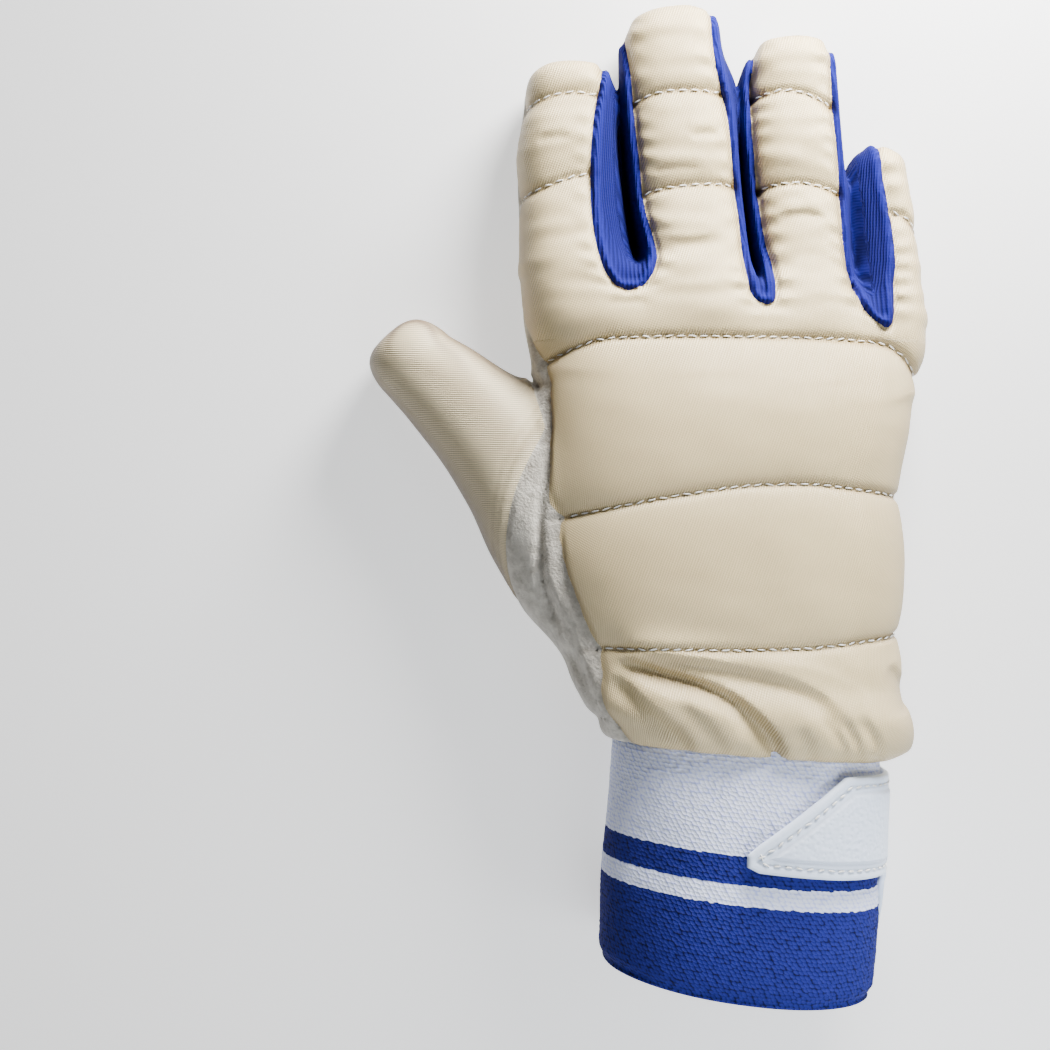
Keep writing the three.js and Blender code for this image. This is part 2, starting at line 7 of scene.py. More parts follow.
import bpy
import numpy as np
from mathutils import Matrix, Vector


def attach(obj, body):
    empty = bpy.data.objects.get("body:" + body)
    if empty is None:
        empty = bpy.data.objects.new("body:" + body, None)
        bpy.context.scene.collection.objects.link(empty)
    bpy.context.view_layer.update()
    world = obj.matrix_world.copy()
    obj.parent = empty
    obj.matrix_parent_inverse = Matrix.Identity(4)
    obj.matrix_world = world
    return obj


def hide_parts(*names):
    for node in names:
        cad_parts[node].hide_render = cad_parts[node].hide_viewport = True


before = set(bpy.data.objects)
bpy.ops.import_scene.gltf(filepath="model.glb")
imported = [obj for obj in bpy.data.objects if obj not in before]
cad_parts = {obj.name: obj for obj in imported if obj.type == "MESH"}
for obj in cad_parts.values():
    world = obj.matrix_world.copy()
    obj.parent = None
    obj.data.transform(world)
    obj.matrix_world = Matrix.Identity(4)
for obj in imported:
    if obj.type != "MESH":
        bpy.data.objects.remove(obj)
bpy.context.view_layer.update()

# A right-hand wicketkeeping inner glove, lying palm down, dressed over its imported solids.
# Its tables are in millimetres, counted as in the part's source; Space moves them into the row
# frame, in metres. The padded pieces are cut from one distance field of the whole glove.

LOG = logging.getLogger("glove")
BODY = "root"

# Driving dimensions, as in the part's source

FRAME_CENTRE = (32.2, 8.39)
WALL_PALM, WALL_BACK, WALL_MORE_AT_GUSSETS = 2.0, 4.0, 1.2
UNDER_FLOOR = -1.6  # how far down the soft forms reach before the floor flattens them
VOXEL = 0.71  # step of the field's grid
HAND_SQUARENESS, THUMB_SQUARENESS = 2.5, 2.2
# Widths over which a finger, the thumb, the floor and the hem blend into the hand
FINGER_JOIN, THUMB_JOIN, FLOOR_ROUNDING, HEM_ROUNDING = 7.0, 6.0, 1.6, 1.2
FINGER_ROOM, TIP_ROOM = 34, 144  # how far a finger's own block of the grid reaches
# Depths of a fourchette's sewn rim, its bed and its sewn line, and how far it swells
GUSSET_RIM, GUSSET_BED, GUSSET_LINE, GUSSET_BULGE = 0.75, 0.5, 0.45, 1.7
SIDE_SEAM_DEPTH, THUMB_SEAM_DEPTH = 0.75, 0.8
GRID_LOW, GRID_REACH = (-43.0, -63.0, -1.5), (153, 204, 51)

# x, y, half width, top, turn, bow
HAND = (
    (57.6, -57.6, 37.4, 45.4, -4.4, 0.0),
    (59.2, -54.4, 40.8, 47.0, -4.4, 0.5),
    (57.6, -48.5, 42.8, 47.8, -3.5, 1.0),
    (55.0, -40.0, 43.2, 45.4, -2.0, 1.5),
    (53.4, -20.0, 45.4, 43.6, 0.0, 2.5),
    (52.5, -6.0, 46.7, 42.6, 1.0, 3.0),
    (52.0, 10.0, 46.8, 41.2, 1.5, 3.5),
    (52.9, 26.0, 48.2, 39.4, 0.0, 4.0),
    (53.1, 38.0, 50.2, 36.6, -2.5, 4.0),
    (52.6, 50.0, 51.6, 33.4, -5.0, 4.0),
    (52.9, 58.0, 51.0, 30.0, -7.0, 3.5),
)
HAND_CAP = 4.5

# turn, cap, then x, y, half width, top of each section
FINGERS = {
    "index": (0.0, 8.8, (
        (18.4, 43, 12.4, 27.0), (16.6, 52, 14.2, 30.6), (14.4, 64, 14.8, 29.4),
        (11.9, 86, 14.4, 26.0), (11.5, 101, 13.9, 25.0), (12.0, 113.4, 12.8, 23.4))),
    "middle": (5.5, 9.6, (
        (48.0, 43, 12.6, 30.0), (46.8, 52, 14.2, 32.4), (45.0, 70, 15.1, 29.6),
        (42.8, 87, 15.5, 27.2), (41.9, 101, 15.3, 26.2), (40.1, 117, 15.0, 25.0),
        (39.2, 126.8, 13.9, 23.6))),
    "ring": (3.0, 9.2, (
        (75.6, 41, 11.2, 28.0), (74.8, 50, 12.4, 30.6), (73.6, 69, 12.6, 28.2),
        (72.5, 87, 13.1, 26.2), (71.4, 101, 13.2, 25.4), (70.9, 110, 13.0, 24.8),
        (71.0, 119.4, 12.2, 23.4))),
    "little": (-3.0, 8.4, (
        (94.4, 36, 7.0, 25.0), (96.4, 46, 8.6, 26.8), (96.2, 60, 9.6, 25.4),
        (96.0, 75, 9.7, 23.6), (95.0, 86, 9.2, 22.4), (94.2, 91.0, 8.5, 21.6))),
}
FINGER_BOW = 1.6

# x, y, half width, top, turn
THUMB = (
    (25.0, -21.0, 19.0, 30.4, 49), (14.0, -7.0, 21.5, 31.0, 49), (5.0, 6.0, 20.4, 30.0, 49),
    (-4.0, 18.6, 17.4, 28.0, 49), (-14.0, 29.6, 14.6, 26.4, 48), (-21.6, 36.8, 13.0, 25.0, 46),
    (-28.6, 42.8, 11.6, 23.4, 42),
)
THUMB_CAP, THUMB_HEADING, THUMB_SPLIT = 11.4, 46.0, 11.5
THUMB_SEAM_POINT = (-1.6, -3.0, 22.0)
THUMB_SEAM_AHEAD = (-0.707, 0.277, -0.65)
THUMB_BAND = 7.5

# y, height of the side seam on the thumb side and on the little-finger side
SIDE_SEAM = (
    (-90, 37, 13), (-38, 37, 13), (-24, 34.5, 13), (7, 30, 12), (25, 27.5, 12), (38, 25, 11),
    (50, 20, 10), (60, 12, 9), (72, 9, 9), (170, 9, 9),
)
SEAM_ACROSS = (30.0, 80.0)

# The knitted strips between two fingers: y, left edge and right edge on the back, from the foot up
GUSSETS = {
    "fourchette_index_middle": (
        (60.2, 26.2, 26.8), (61.4, 23.4, 30.2), (63.4, 21.8, 32.0), (66.0, 20.2, 33.4),
        (70.0, 19.0, 34.2), (75.3, 17.9, 33.2), (82.0, 17.2, 31.5), (88.5, 17.0, 30.6),
        (95.3, 17.1, 30.0), (105.8, 17.9, 28.9), (117.0, 19.9, 28.0), (128.0, 21.6, 26.6)),
    "fourchette_middle_ring": (
        (56.4, 61.6, 62.4), (57.4, 59.2, 63.9), (60.4, 57.6, 64.4), (65.0, 57.0, 64.4),
        (74.0, 56.1, 62.9), (77.6, 55.9, 62.4), (85.4, 55.1, 61.5), (96.0, 54.2, 60.5),
        (106.8, 53.1, 59.8), (115.7, 51.1, 59.8), (121.0, 49.9, 60.4), (130.0, 49.0, 61.8)),
    "fourchette_ring_little": (
        (51.0, 93.0, 94.0), (52.2, 91.2, 95.0), (55.8, 87.6, 95.6), (62.7, 85.2, 95.8),
        (67.9, 83.8, 96.5), (77.4, 82.8, 96.0), (85.4, 82.6, 94.8), (91.8, 82.3, 93.8),
        (96.0, 82.0, 93.6), (106.5, 81.2, 93.4), (120.7, 80.6, 94.0)),
}
# y of the tips of the fingers on either side
GUSSET_TIPS = {
    "fourchette_index_middle": (122.2, 136.4), "fourchette_middle_ring": (136.4, 128.6),
    "fourchette_ring_little": (128.6, 99.4),
}
GUSSET_PALM_DEEPER, GUSSET_PALM_NARROWER = 8.0, 1.2
GUSSET_SPLIT = (3.0, 7.0)

VENT = {
    "x": 83.0, "y": -64.0, "angle": 41.0, "length": 40.0, "binding": 5.0, "slit": 1.0,
    "height": 14.0,
}

# down, x, y, turn, half width, top, bow
CUFF = (
    (-3.5, 57.8, -54.0, -4.3, 34.2, 42.6, 0.0), (4.0, 57.4, -61.4, -4.4, 34.8, 43.6, 0.0),
    (22.0, 56.4, -79.4, -5.7, 35.1, 44.2, 0.6), (42.0, 55.6, -99.0, -6.8, 36.1, 44.2, 1.2),
    (56.0, 55.0, -112.8, -7.3, 36.0, 43.6, 2.0), (59.6, 54.8, -116.4, -7.6, 34.9, 42.6, 2.2),
)
CUFF_START = (57.4, -57.4, -4.4)  # x, y and turn of the line where its depth is nought
CUFF_LOW, CUFF_REST, CUFF_WALL, CUFF_SQUARENESS = 0.6, 2.8, 2.4, 2.4
CUFF_SPLIT = (23.0, 4.0)  # middle and width
CUFF_HALF_AT_SPLIT, CUFF_HALF_AT_TAB = 35.3, 35.1
CUFF_RIM = (0.5, 1.1, 1.57, 2.1, 2.7)  # angles round a rolled edge
CUFF_SEED, CUFF_UNEVEN, CUFF_WAVE = 11, 0.16, 0.25  # roughness of its face
# Clearance of the hem round the cuff and round the strap, and how far up each of them goes
CUFF_ROOM, STRAP_ROOM, CUFF_UP, STRAP_DOWN = 0.35, 0.4, 4.2, 2.7
CUFF_BANDS = ((24.1, 31.3), (36.7, 90.0))  # depths between which the elastic is blue

STRAP_THICK, STRAP_CLEAR, STRAP_TAB = 2.2, 0.6, -1.4
# distance round from the tab's tip, then the depths of the strap's two edges
STRAP_OUTLINE = (
    (0, 23.6, 26.4), (3, 20.8, 27.6), (25, 3.8, 28.2), (31, 3.4, 28.2), (43, 3.4, 28.2),
    (49, 3.4, 32), (53, 3.4, 41), (57, 3.4, 48), (63, 3.4, 51), (90, 3.4, 51), (112, 4.0, 50),
    (122, 7.5, 42.5), (131, 13.5, 35.5), (137, 20, 31),
)

# Stitched lines of the padding, each through its points in plan
BACK_LINES = (
    ((1.0, 39.0), (4.3, 41.4), (12.2, 45.3), (21.9, 47.9), (38.4, 48.1), (60.8, 47.9),
     (83.3, 47.4), (92.9, 46.6), (98.5, 43.2), (103.5, 37.0)),
    ((4.0, 0.8), (9.5, 1.8), (23, 4.5), (37.8, 7.3), (58.3, 10), (70, 10.3), (84, 9),
     (95.3, 7.4), (99, 6.6)),
    ((12.5, -31.4), (18.8, -31.1), (30.3, -31), (52.1, -31.2), (70.2, -30.8), (81.1, -29.8),
     (93.5, -28.5), (98, -27.8)),
)
FINGER_LINES = (
    ((-3.5, 109.0), (-0.3, 110.4), (6, 112.4), (12.2, 113.5), (18.1, 113), (24, 111)),
    ((-3.5, 86.0), (3.9, 87.9), (10, 90.1), (15.8, 91.5), (20, 91.6)),
    ((26, 110.2), (28.8, 111.2), (38.1, 113.5), (49.8, 113.5), (54, 112.4)),
    ((28.5, 85.6), (30.6, 86.3), (39.7, 88.1), (53.1, 88.9), (57, 88.4)),
    ((57, 111.4), (59.4, 112.2), (67.9, 113.8), (79.3, 110.7), (83, 109)),
    ((58.5, 87.4), (60.4, 88.1), (70.2, 89.2), (80.9, 87.4), (84, 86.2)),
    ((92, 81.2), (94.4, 81.6), (97.7, 81.9), (102.4, 78.8), (105, 76)),
)
PALM_LINES = (
    ((4, 36.5), (30, 37.5), (60, 37.0), (100, 35)),
    ((-1, 98), (10, 98.6), (20, 98)), ((-1, 67.6), (10, 68.2), (23, 67.6)),
    ((29, 98), (42, 98.6), (54, 98)), ((30, 69.6), (44, 70.2), (58, 69.6)),
    ((60, 104.2), (71, 104.8), (81, 104.2)), ((60, 72.4), (73, 73), (85, 72.4)),
    ((89, 76), (96, 76.4), (104, 76)), ((90, 52), (97, 52.4), (104, 52)),
)
THUMB_LINE = ((-25.5, 22.5), (-17, 31), (-7, 40.0))
# DEEPEST_FOLD is the depth of fold that takes the full painted shade.
QUILT_DEPTH, PALM_QUILT_DEPTH, DEEPEST_FOLD = 3.2, 0.9, 4.6
HEM_LINES = (2.6, 4.6)  # distances of the thumb's two hem lines past its seam

# Folds that the elastic pulls into the back: depth, width, ridge beside it, then its points
FOLDS = (
    (4.3, 2.5, 1.8, (
        (18.5, -31.8), (23.5, -34.4), (30.8, -36.4), (41.2, -39.2), (50.1, -43.4), (55, -47.2),
        (59, -51.2), (61.8, -55.4), (64, -62))),
    (1.9, 2.6, 1.0, (
        (22, -32.6), (36.5, -34.8), (51.3, -37.0), (62.7, -39.6), (71, -43.2), (77, -48),
        (81, -54))),
    (1.3, 1.5, 0.7, ((71.0, -45.4), (73.8, -48.1), (76.7, -51.4), (79.5, -56.5), (80.5, -62))),
    (1.4, 1.4, 0.7, ((77.0, -46.4), (79.9, -50.1), (82.6, -54.6), (84.0, -62))),
    (1.2, 1.5, 0.6, ((82.5, -46.6), (84.8, -50.1), (88.0, -55), (89.8, -62))),
    (0.8, 2.0, 0.4, ((65.5, -49), (69.0, -53), (71.5, -62))),
    (2.0, 2.5, 1.0, ((20.5, -35), (24.5, -41), (30.5, -47), (38.5, -53), (42, -60))),
    (1.0, 2.2, 0.5, ((90, -35), (95.5, -40), (97.5, -48))),
    (1.1, 2.2, 0.6, ((36, -43.5), (44, -49), (50, -58))),
)
SUEDE_FOLDS = (
    (1.7, 1.3, 0.8, ((6.2, 22), (5.5, 14.3), (3.9, 4.2), (3.9, -12.2), (7, -22.1), (10.4, -28.9))),
    (1.2, 1.4, 0.6, ((11, -30), (14, -37), (18, -46), (21, -54))),
)
# Creases across the fingers, in the same columns
CREASES = (
    (1.3, 1.3, 0.5, ((30, 90.6), (36, 92.2), (44, 92.4), (52, 91.6))),
    (0.9, 1.8, 0.5, ((31, 75.0), (41, 72.4), (52, 73.8))),
    (1.1, 1.4, 0.5, ((60, 91.4), (67, 93.0), (76, 91.8))),
    (1.2, 1.5, 0.5, ((64, 79.6), (72, 80.6), (81, 78.6))),
    (1.0, 1.4, 0.4, ((62, 84.4), (69, 85.4), (77, 84.4))),
    (0.8, 1.4, 0.3, ((2, 100.2), (8, 101.2), (14, 100.4))),
    (0.8, 1.3, 0.3, ((42, 100.8), (48, 101.8), (53, 101.2))),
)
# Slits down the fourchettes, where they turn in on themselves, cut in and darkened with painted
# shade: depth, width, points
SLITS = (
    (2.6, 0.9, ((24.4, 112), (25.5, 96.5), (27.2, 85), (28.8, 75), (29.9, 67.6))),
    (2.2, 0.8, ((55.4, 112), (56.4, 106), (58.0, 86.7), (60.0, 70), (61.2, 61.0))),
)
# Shares of a line over which a fold and a crease run out
FOLD_FADE, CREASE_FADE = 0.12, 0.4


MISSED = 1e9  # farther than any line


class Slot(Enum):
    """The record's material slots."""

    SATIN = "satin_knit"
    SUEDE = "suede"
    GUSSET = "gusset_knit"
    JERSEY = "jersey"
    BINDING = "binding"
    ELASTIC = "elastic"
    STRAP = "strap"


# Shape helpers


def span_share(x: np.ndarray, y: np.ndarray, a: np.ndarray, run: np.ndarray) -> np.ndarray:
    """The share along a straight run from a that lies nearest to each place."""
    return np.clip(((x - a[0]) * run[0] + (y - a[1]) * run[1]) / (run @ run), 0, 1)


def eased(places: np.ndarray, values: np.ndarray, at: np.ndarray) -> np.ndarray:
    """Smooth values between a table's rows, without overshoot.

    Args:
        places: the rows' places, rising.
        values: the value at each place.
        at: where the values are wanted.

    Returns:
        The value at each wanted place.
    """
    x, v = np.asarray(places, float), np.asarray(values, float)
    step = np.diff(x)
    slope = np.diff(v) / step
    lean = np.empty_like(v)
    lean[0], lean[-1] = slope[0], slope[-1]
    same = slope[:-1] * slope[1:] > 0
    total = np.where(same, slope[:-1] + slope[1:], 1.0)
    lean[1:-1] = np.where(same, 2 * slope[:-1] * slope[1:] / total, 0.0)
    at = np.clip(at, x[0], x[-1])
    i = np.clip(np.searchsorted(x, at, side="right") - 1, 0, len(x) - 2)
    t = (at - x[i]) / step[i]
    start, end = (2 * t**3 - 3 * t**2 + 1), (3 * t**2 - 2 * t**3)
    return (start * v[i] + (t**3 - 2 * t**2 + t) * step[i] * lean[i]
            + end * v[i + 1] + (t**3 - t**2) * step[i] * lean[i + 1])


def smooth_min(a: np.ndarray, b: np.ndarray, k: float) -> np.ndarray:
    """The lower of two fields, blended over a width k."""
    h = np.maximum(k - np.abs(a - b), 0) / k
    return np.minimum(a, b) - h * h * (k / 4)


def smooth_max(a: np.ndarray, b: np.ndarray, k: float) -> np.ndarray:
    """The higher of two fields, blended over a width k."""
    return -smooth_min(-a, -b, k)


def highest(*fields: np.ndarray) -> np.ndarray:
    """The highest of several fields, of any shapes that fit each other."""
    return reduce(np.maximum, fields)


def lowest(*fields: np.ndarray) -> np.ndarray:
    """The lowest of several fields, of any shapes that fit each other."""
    return reduce(np.minimum, fields)


def ramp(low: float, high: float, value: np.ndarray) -> np.ndarray:
    """0 under low, 1 over high, and smooth between them."""
    t = np.clip((value - low) / (high - low), 0, 1)
    return t * t * (3 - 2 * t)


def hump(distance: np.ndarray, width: float) -> np.ndarray:
    """1 on a line, falling off smoothly over a width."""
    return np.exp(-((distance / width) ** 2))


def curve_through(points: tuple, spacing: float = 1.0) -> np.ndarray:
    """A smooth line through points, as closely spaced points."""
    p = np.asarray(points, float)
    along = np.concatenate([[0], np.cumsum(np.linalg.norm(np.diff(p, axis=0), axis=1))])
    at = np.linspace(0, along[-1], max(3, int(along[-1] / spacing)))
    return np.stack([eased(along, p[:, i], at) for i in range(p.shape[1])], axis=1)


def to_line(x: np.ndarray, y: np.ndarray, points: tuple) -> tuple:
    """How far each place is from a line in plan.

    Args:
        x, y: the places.
        points: the line's points.

    Returns:
        The distance, the side (1 left of the line's run, -1 right) and the share along the line.
    """
    line = curve_through(points, 3.0)
    best = np.full(np.broadcast(x, y).shape, MISSED)
    side, share = np.zeros_like(best), np.zeros_like(best)
    for i, (a, b) in enumerate(zip(line[:-1], line[1:])):
        run = b - a
        t = span_share(x, y, a, run)
        dx, dy = x - a[0] - t * run[0], y - a[1] - t * run[1]
        far = np.hypot(dx, dy)
        nearer = far < best
        best = np.where(nearer, far, best)
        side = np.where(nearer, np.sign(run[0] * dy - run[1] * dx), side)
        share = np.where(nearer, (i + t) / (len(line) - 1), share)
    return best, side, share


@dataclass(frozen=True)
class Space:
    """The row frame: table millimetres in, metres out."""

    centre: tuple[float, float] = FRAME_CENTRE

    def metres(self, points: np.ndarray) -> np.ndarray:
        """Points of the tables, moved into the row frame."""
        return (np.asarray(points, float) - (*self.centre, 0.0)) * 0.001


SPACE = Space()


@dataclass(frozen=True)
class Tube:
    """A soft tube through sections that stand across its axis.

    Attributes:
        rows: x, y, half width, top, turn in degrees and bow of each section.
        squareness: exponent of the sections' outline.
        cap: length of the rounded end past the last row.
        heading: degrees that the axis is turned from +Y.
        low: how far down the sections reach.
    """

    rows: tuple
    squareness: float
    cap: float
    heading: float = 0.0
    low: float = UNDER_FLOOR

    def field(self, x: np.ndarray, y: np.ndarray, z: np.ndarray) -> np.ndarray:
        """Roughly the distance outside the tube's surface, negative inside."""
        h = math.radians(self.heading)
        rows = np.array(self.rows, float)
        turned = rows.copy()
        turned[:, 0] = rows[:, 0] * math.cos(h) + rows[:, 1] * math.sin(h)
        turned[:, 1] = rows[:, 1] * math.cos(h) - rows[:, 0] * math.sin(h)
        turned[:, 4] = np.radians(rows[:, 4]) - h
        px, py = x * math.cos(h) + y * math.sin(h), y * math.cos(h) - x * math.sin(h)
        first, last = turned[0, 1], turned[-1, 1]
        places = np.linspace(first, last, int((last - first) * 4))
        table = {k: eased(turned[:, 1], turned[:, c], places)
                 for k, c in (("x", 0), ("w", 2), ("top", 3), ("turn", 4), ("bow", 5))}

        def at(key: str, place: np.ndarray) -> np.ndarray:
            """A column of the table at places along the axis."""
            return np.interp(place, places, table[key]).astype(np.float32)

        place, ahead = py, 0.0
        for _ in range(3):
            turn, half_width = at("turn", place), at("w", place)
            across = (px - at("x", place)) / np.cos(turn) + ahead * np.tan(turn)
            ahead = at("bow", place) * (1 - np.clip(across / half_width, -1, 1) ** 2)
            place = py - across * np.sin(turn) - ahead * np.cos(turn)
        top = at("top", place)
        middle, half = (top + self.low) / 2, (top - self.low) / 2
        n = self.squareness
        u, v = np.abs(across / half_width), np.abs((z - middle) / half)
        r = np.maximum((u**n + v**n) ** (1 / n), 0.05)
        slope = r ** (1 - n) * np.hypot(u ** (n - 1) / half_width, v ** (n - 1) / half)
        past = np.maximum(place - last, 0) / self.cap
        gradient = np.hypot(4 * r**3 * slope, 2 * past / self.cap)
        return np.clip((r**4 + past**2 - 1) / np.maximum(gradient, 1e-3), -12, 12)


def ripple(x: np.ndarray, y: np.ndarray, wave: float, seed: int) -> np.ndarray:
    """Soft unevenness in plan, between about -1 and 1, the same each run."""
    random = np.random.default_rng(seed)
    total = 0.0
    for _ in range(9):
        heading, phase = random.uniform(0, 2 * np.pi, 2)
        length = wave * random.uniform(0.7, 1.6)
        along = x * np.cos(heading) + y * np.sin(heading)
        total = total + np.sin(along * 2 * np.pi / length + phase)
    return total / 4.0


class GloveField:
    """The distance field of the whole glove on a grid, and the fields of its pieces."""

    def __init__(self) -> None:
        """Lays out the grid and fills every field."""
        self.low = np.array(GRID_LOW)
        self.count = np.ceil(np.array(GRID_REACH) / VOXEL).astype(int)
        axes = [np.float32(self.low[i] + VOXEL * np.arange(self.count[i])) for i in range(3)]
        self.x = axes[0][:, None, None]
        self.y = axes[1][None, :, None]
        self.z = axes[2][None, None, :]
        self.plan_x, self.plan_y = axes[0][:, None], axes[1][None, :]
        self._forms()
        self._relief()

    def _block(self, low: tuple, high: tuple) -> tuple:
        """Slices of the grid between two corners in plan."""
        first, last = ((np.array(corner) - self.low[:2]) / VOXEL for corner in (low, high))
        a = np.clip(np.floor(first).astype(int), 0, self.count[:2])
        b = np.clip(np.ceil(last).astype(int), 0, self.count[:2])
        return slice(a[0], b[0]), slice(a[1], b[1])

    def _forms(self) -> None:
        """Hand, fingers and thumb, and where they meet."""
        x, y, z = self.x, self.y, self.z
        hand = Tube(HAND, HAND_SQUARENESS, HAND_CAP).field(x, y, z)
        joined = hand.copy()
        for turn, cap, rows in FINGERS.values():
            centre = np.array(rows)
            i, j = self._block((centre[:, 0].min() - FINGER_ROOM, centre[0, 1] - 6),
                               (centre[:, 0].max() + FINGER_ROOM, TIP_ROOM))
            sections = tuple((*row, turn, FINGER_BOW) for row in rows)
            tube = Tube(sections, HAND_SQUARENESS, cap)
            finger = tube.field(x[i], y[:, j], z)
            finger = np.maximum(finger, rows[0][1] - y[:, j])
            blended = smooth_min(hand[i, j], finger, FINGER_JOIN)
            joined[i, j] = np.minimum(joined[i, j], blended)
        rows = tuple((*row, 0.0) for row in THUMB)
        thumb = Tube(rows, THUMB_SQUARENESS, THUMB_CAP, THUMB_HEADING).field(x, y, z)
        ahead = np.array(THUMB_SEAM_AHEAD) / np.linalg.norm(THUMB_SEAM_AHEAD)
        self.past_seam = sum(
            ahead[i] * (c - THUMB_SEAM_POINT[i]) for i, c in enumerate((x, y, z)))
        self.hand, self.thumb = joined, thumb
        self.form = smooth_min(joined, np.maximum(thumb, -14), THUMB_JOIN)

    def _side_seam(self) -> None:
        """How high each place lies over the seam between the back and the palm."""
        x, y = self.plan_x, self.plan_y
        places = [row[0] for row in SIDE_SEAM]
        seam = [np.interp(y, places, [row[c] for row in SIDE_SEAM]) for c in (1, 2)]
        across = np.clip((x - SEAM_ACROSS[0]) / (SEAM_ACROSS[1] - SEAM_ACROSS[0]), 0, 1)
        seam_height = seam[0] + (seam[1] - seam[0]) * across
        self.over_seam = self.z - seam_height[:, :, None]

    def _back_relief(self) -> np.ndarray:
        """How deep the quilting, folds and creases go into the back, in plan."""
        x, y = self.plan_x, self.plan_y
        self.quilt = lowest(*[to_line(x, y, line)[0] for line in (*BACK_LINES, *FINGER_LINES)])
        back = QUILT_DEPTH * (0.34 * hump(self.quilt, 0.9) + 0.66 * np.exp(-self.quilt / 5.0))
        self.folded = np.zeros_like(back)
        rows = [(*row, end) for table, end in ((FOLDS, FOLD_FADE), (CREASES, CREASE_FADE))
                for row in table]
        for depth, width, ridge, points, end in rows:
            far, side, share = to_line(x, y, points)
            fade = ramp(0, 0.24, share) * (0.1 + 0.9 * ramp(0, end, 1.0 - share))
            fade = fade * (0.45 + 0.55 * ramp(-62, -51, y))
            slow = 0.45 * np.exp(-far / (2.6 * width)) * (side < 0)
            steep = 0.45 * hump(far, 1.1 * width) * (side >= 0)
            valley = fade * depth * (0.55 * hump(far, width) + (slow + steep))
            bank = hump(far * side - 1.9 * width, 1.3 * width)
            back = np.maximum(back, valley) - ridge * fade * bank
            # How deep the fold is, which sets its painted shade on the back.
            self.folded = np.maximum(self.folded, valley / DEEPEST_FOLD)
        return back

    def _palm_relief(self) -> np.ndarray:
        """How deep the palm's stitched lines and the suede's folds go, in plan."""
        x, y = self.plan_x, self.plan_y
        self.palm_quilt = lowest(*[to_line(x, y, line)[0] for line in PALM_LINES])
        channel = 0.5 * hump(self.palm_quilt, 0.9) + 0.5 * np.exp(-self.palm_quilt / 3.0)
        palm = PALM_QUILT_DEPTH * channel + 0.10 * (1 + ripple(x, y, 14, 8))
        for depth, width, ridge, points in SUEDE_FOLDS:
            far, side, share = to_line(x, y, points)
            fade = ramp(0, 0.2, share) * ramp(0, 0.2, 1.0 - share)
            bank = hump(far * side - 2.0 * width, 1.4 * width)
            palm = palm + fade * (depth * hump(far, width) - ridge * bank)
        return palm

    def _slit_relief(self) -> np.ndarray:
        """How deep the slits go into the fourchettes, in plan; their painted shade follows the same
        depth.
        """
        x, y = self.plan_x, self.plan_y
        slit = 0 * x + 0 * y
        for depth, width, points in SLITS:
            far, _, share = to_line(x, y, points)
            slit = np.maximum(slit, depth * hump(far, width)
                              * ramp(0, 0.3, share) * ramp(0, 0.15, 1 - share))
        return slit

    def _thumb_relief(self, on_thumb: np.ndarray) -> np.ndarray:
        """How deep the thumb's hem, the seam of its two panels and its stitched line go.

        Args:
            on_thumb: 1 on the thumb, 0 on the hand.

        Returns:
            The depth at each place.
        """
        z = self.z
        hem = (0.28 * hump(self.past_seam - HEM_LINES[0], 0.5)
               + 0.2 * hump(self.past_seam - HEM_LINES[1], 0.5))
        split = 0.6 * hump(z - THUMB_SPLIT, 1.0) * ramp(0.5, 2.0, self.past_seam)
        far = to_line(self.plan_x, self.plan_y, THUMB_LINE)[0]
        channel = (0.5 * hump(far, 0.9) + 0.5 * np.exp(-far / 3))[:, :, None]
        return on_thumb * (hem * ramp(THUMB_SPLIT - 1, THUMB_SPLIT + 1, z) + split
                           + channel * ramp(THUMB_SPLIT, 6.0, z))

    def _relief(self) -> None:
        """Quilting, folds and seams, drawn into the outer surface, and the shell under it."""
        x, y, z = self.plan_x, self.plan_y, self.z
        self._side_seam()
        back, palm = self._back_relief(), self._palm_relief()
        self.gussets = {name: self._gusset(rows) for name, rows in GUSSETS.items()}
        nearest = lowest(*[np.abs(g) for g in self.gussets.values()])
        inside = lowest(*self.gussets.values())
        upper = ramp(-2.5, 2.5, self.over_seam)
        gathers = np.sin(2 * np.pi * (y / 5.4 + 0.35 * ripple(x, y, 30, 21))) * ramp(46, 60, y)
        hand_side = ramp(0.3, -0.3, self.past_seam) + (self.thumb > self.hand)
        hand_side = np.clip(hand_side, 0, 1)
        beside = hump(np.maximum(inside, 0) - 2.2, 2.4)
        cloth = ramp(-0.6, 0.4, inside)
        self.slit = self._slit_relief()
        calm = ramp(0, 7, self.over_seam)
        loose = 0.25 + 0.75 * ramp(-20, -44, y)
        gathered = 0.02 + 0.12 * ramp(48, 62, y)
        soft = 0.32 * loose * ripple(x, y, 15, 3) + gathered * ripple(x * 0.55, y * 1.6, 9, 5)
        relief = upper * (back[:, :, None] + calm * soft[:, :, None])
        relief = relief + (1 - upper) * palm[:, :, None]
        relief = cloth * (relief + 0.30 * upper * beside * gathers[:, :, None])
        relief = relief - GUSSET_BULGE * self._bulge() * ramp(23, 14, z)
        relief = relief * hand_side
        rim, bed, stitched = hump(nearest, 0.8), ramp(-2.2, -3.4, inside), hump(inside + 1.5, 0.8)
        relief = relief + GUSSET_RIM * rim + GUSSET_BED * bed - GUSSET_LINE * stitched
        relief = relief + ramp(10, 14, z) * self.slit[:, :, None]
        side_seam = hump(self.over_seam, 0.9) * (SIDE_SEAM_DEPTH * hand_side)
        thumb_seam = hump(self.past_seam, 1.1) * ramp(2.0, -1.0, self.thumb)
        on_thumb = ramp(-0.3, 0.3, self.past_seam) * (self.thumb < self.hand + 3)
        relief = relief + side_seam + THUMB_SEAM_DEPTH * thumb_seam
        relief = relief + self._thumb_relief(on_thumb)
        relief = relief + on_thumb * 0.05 * ripple(x, y, 30, 12)[:, :, None]

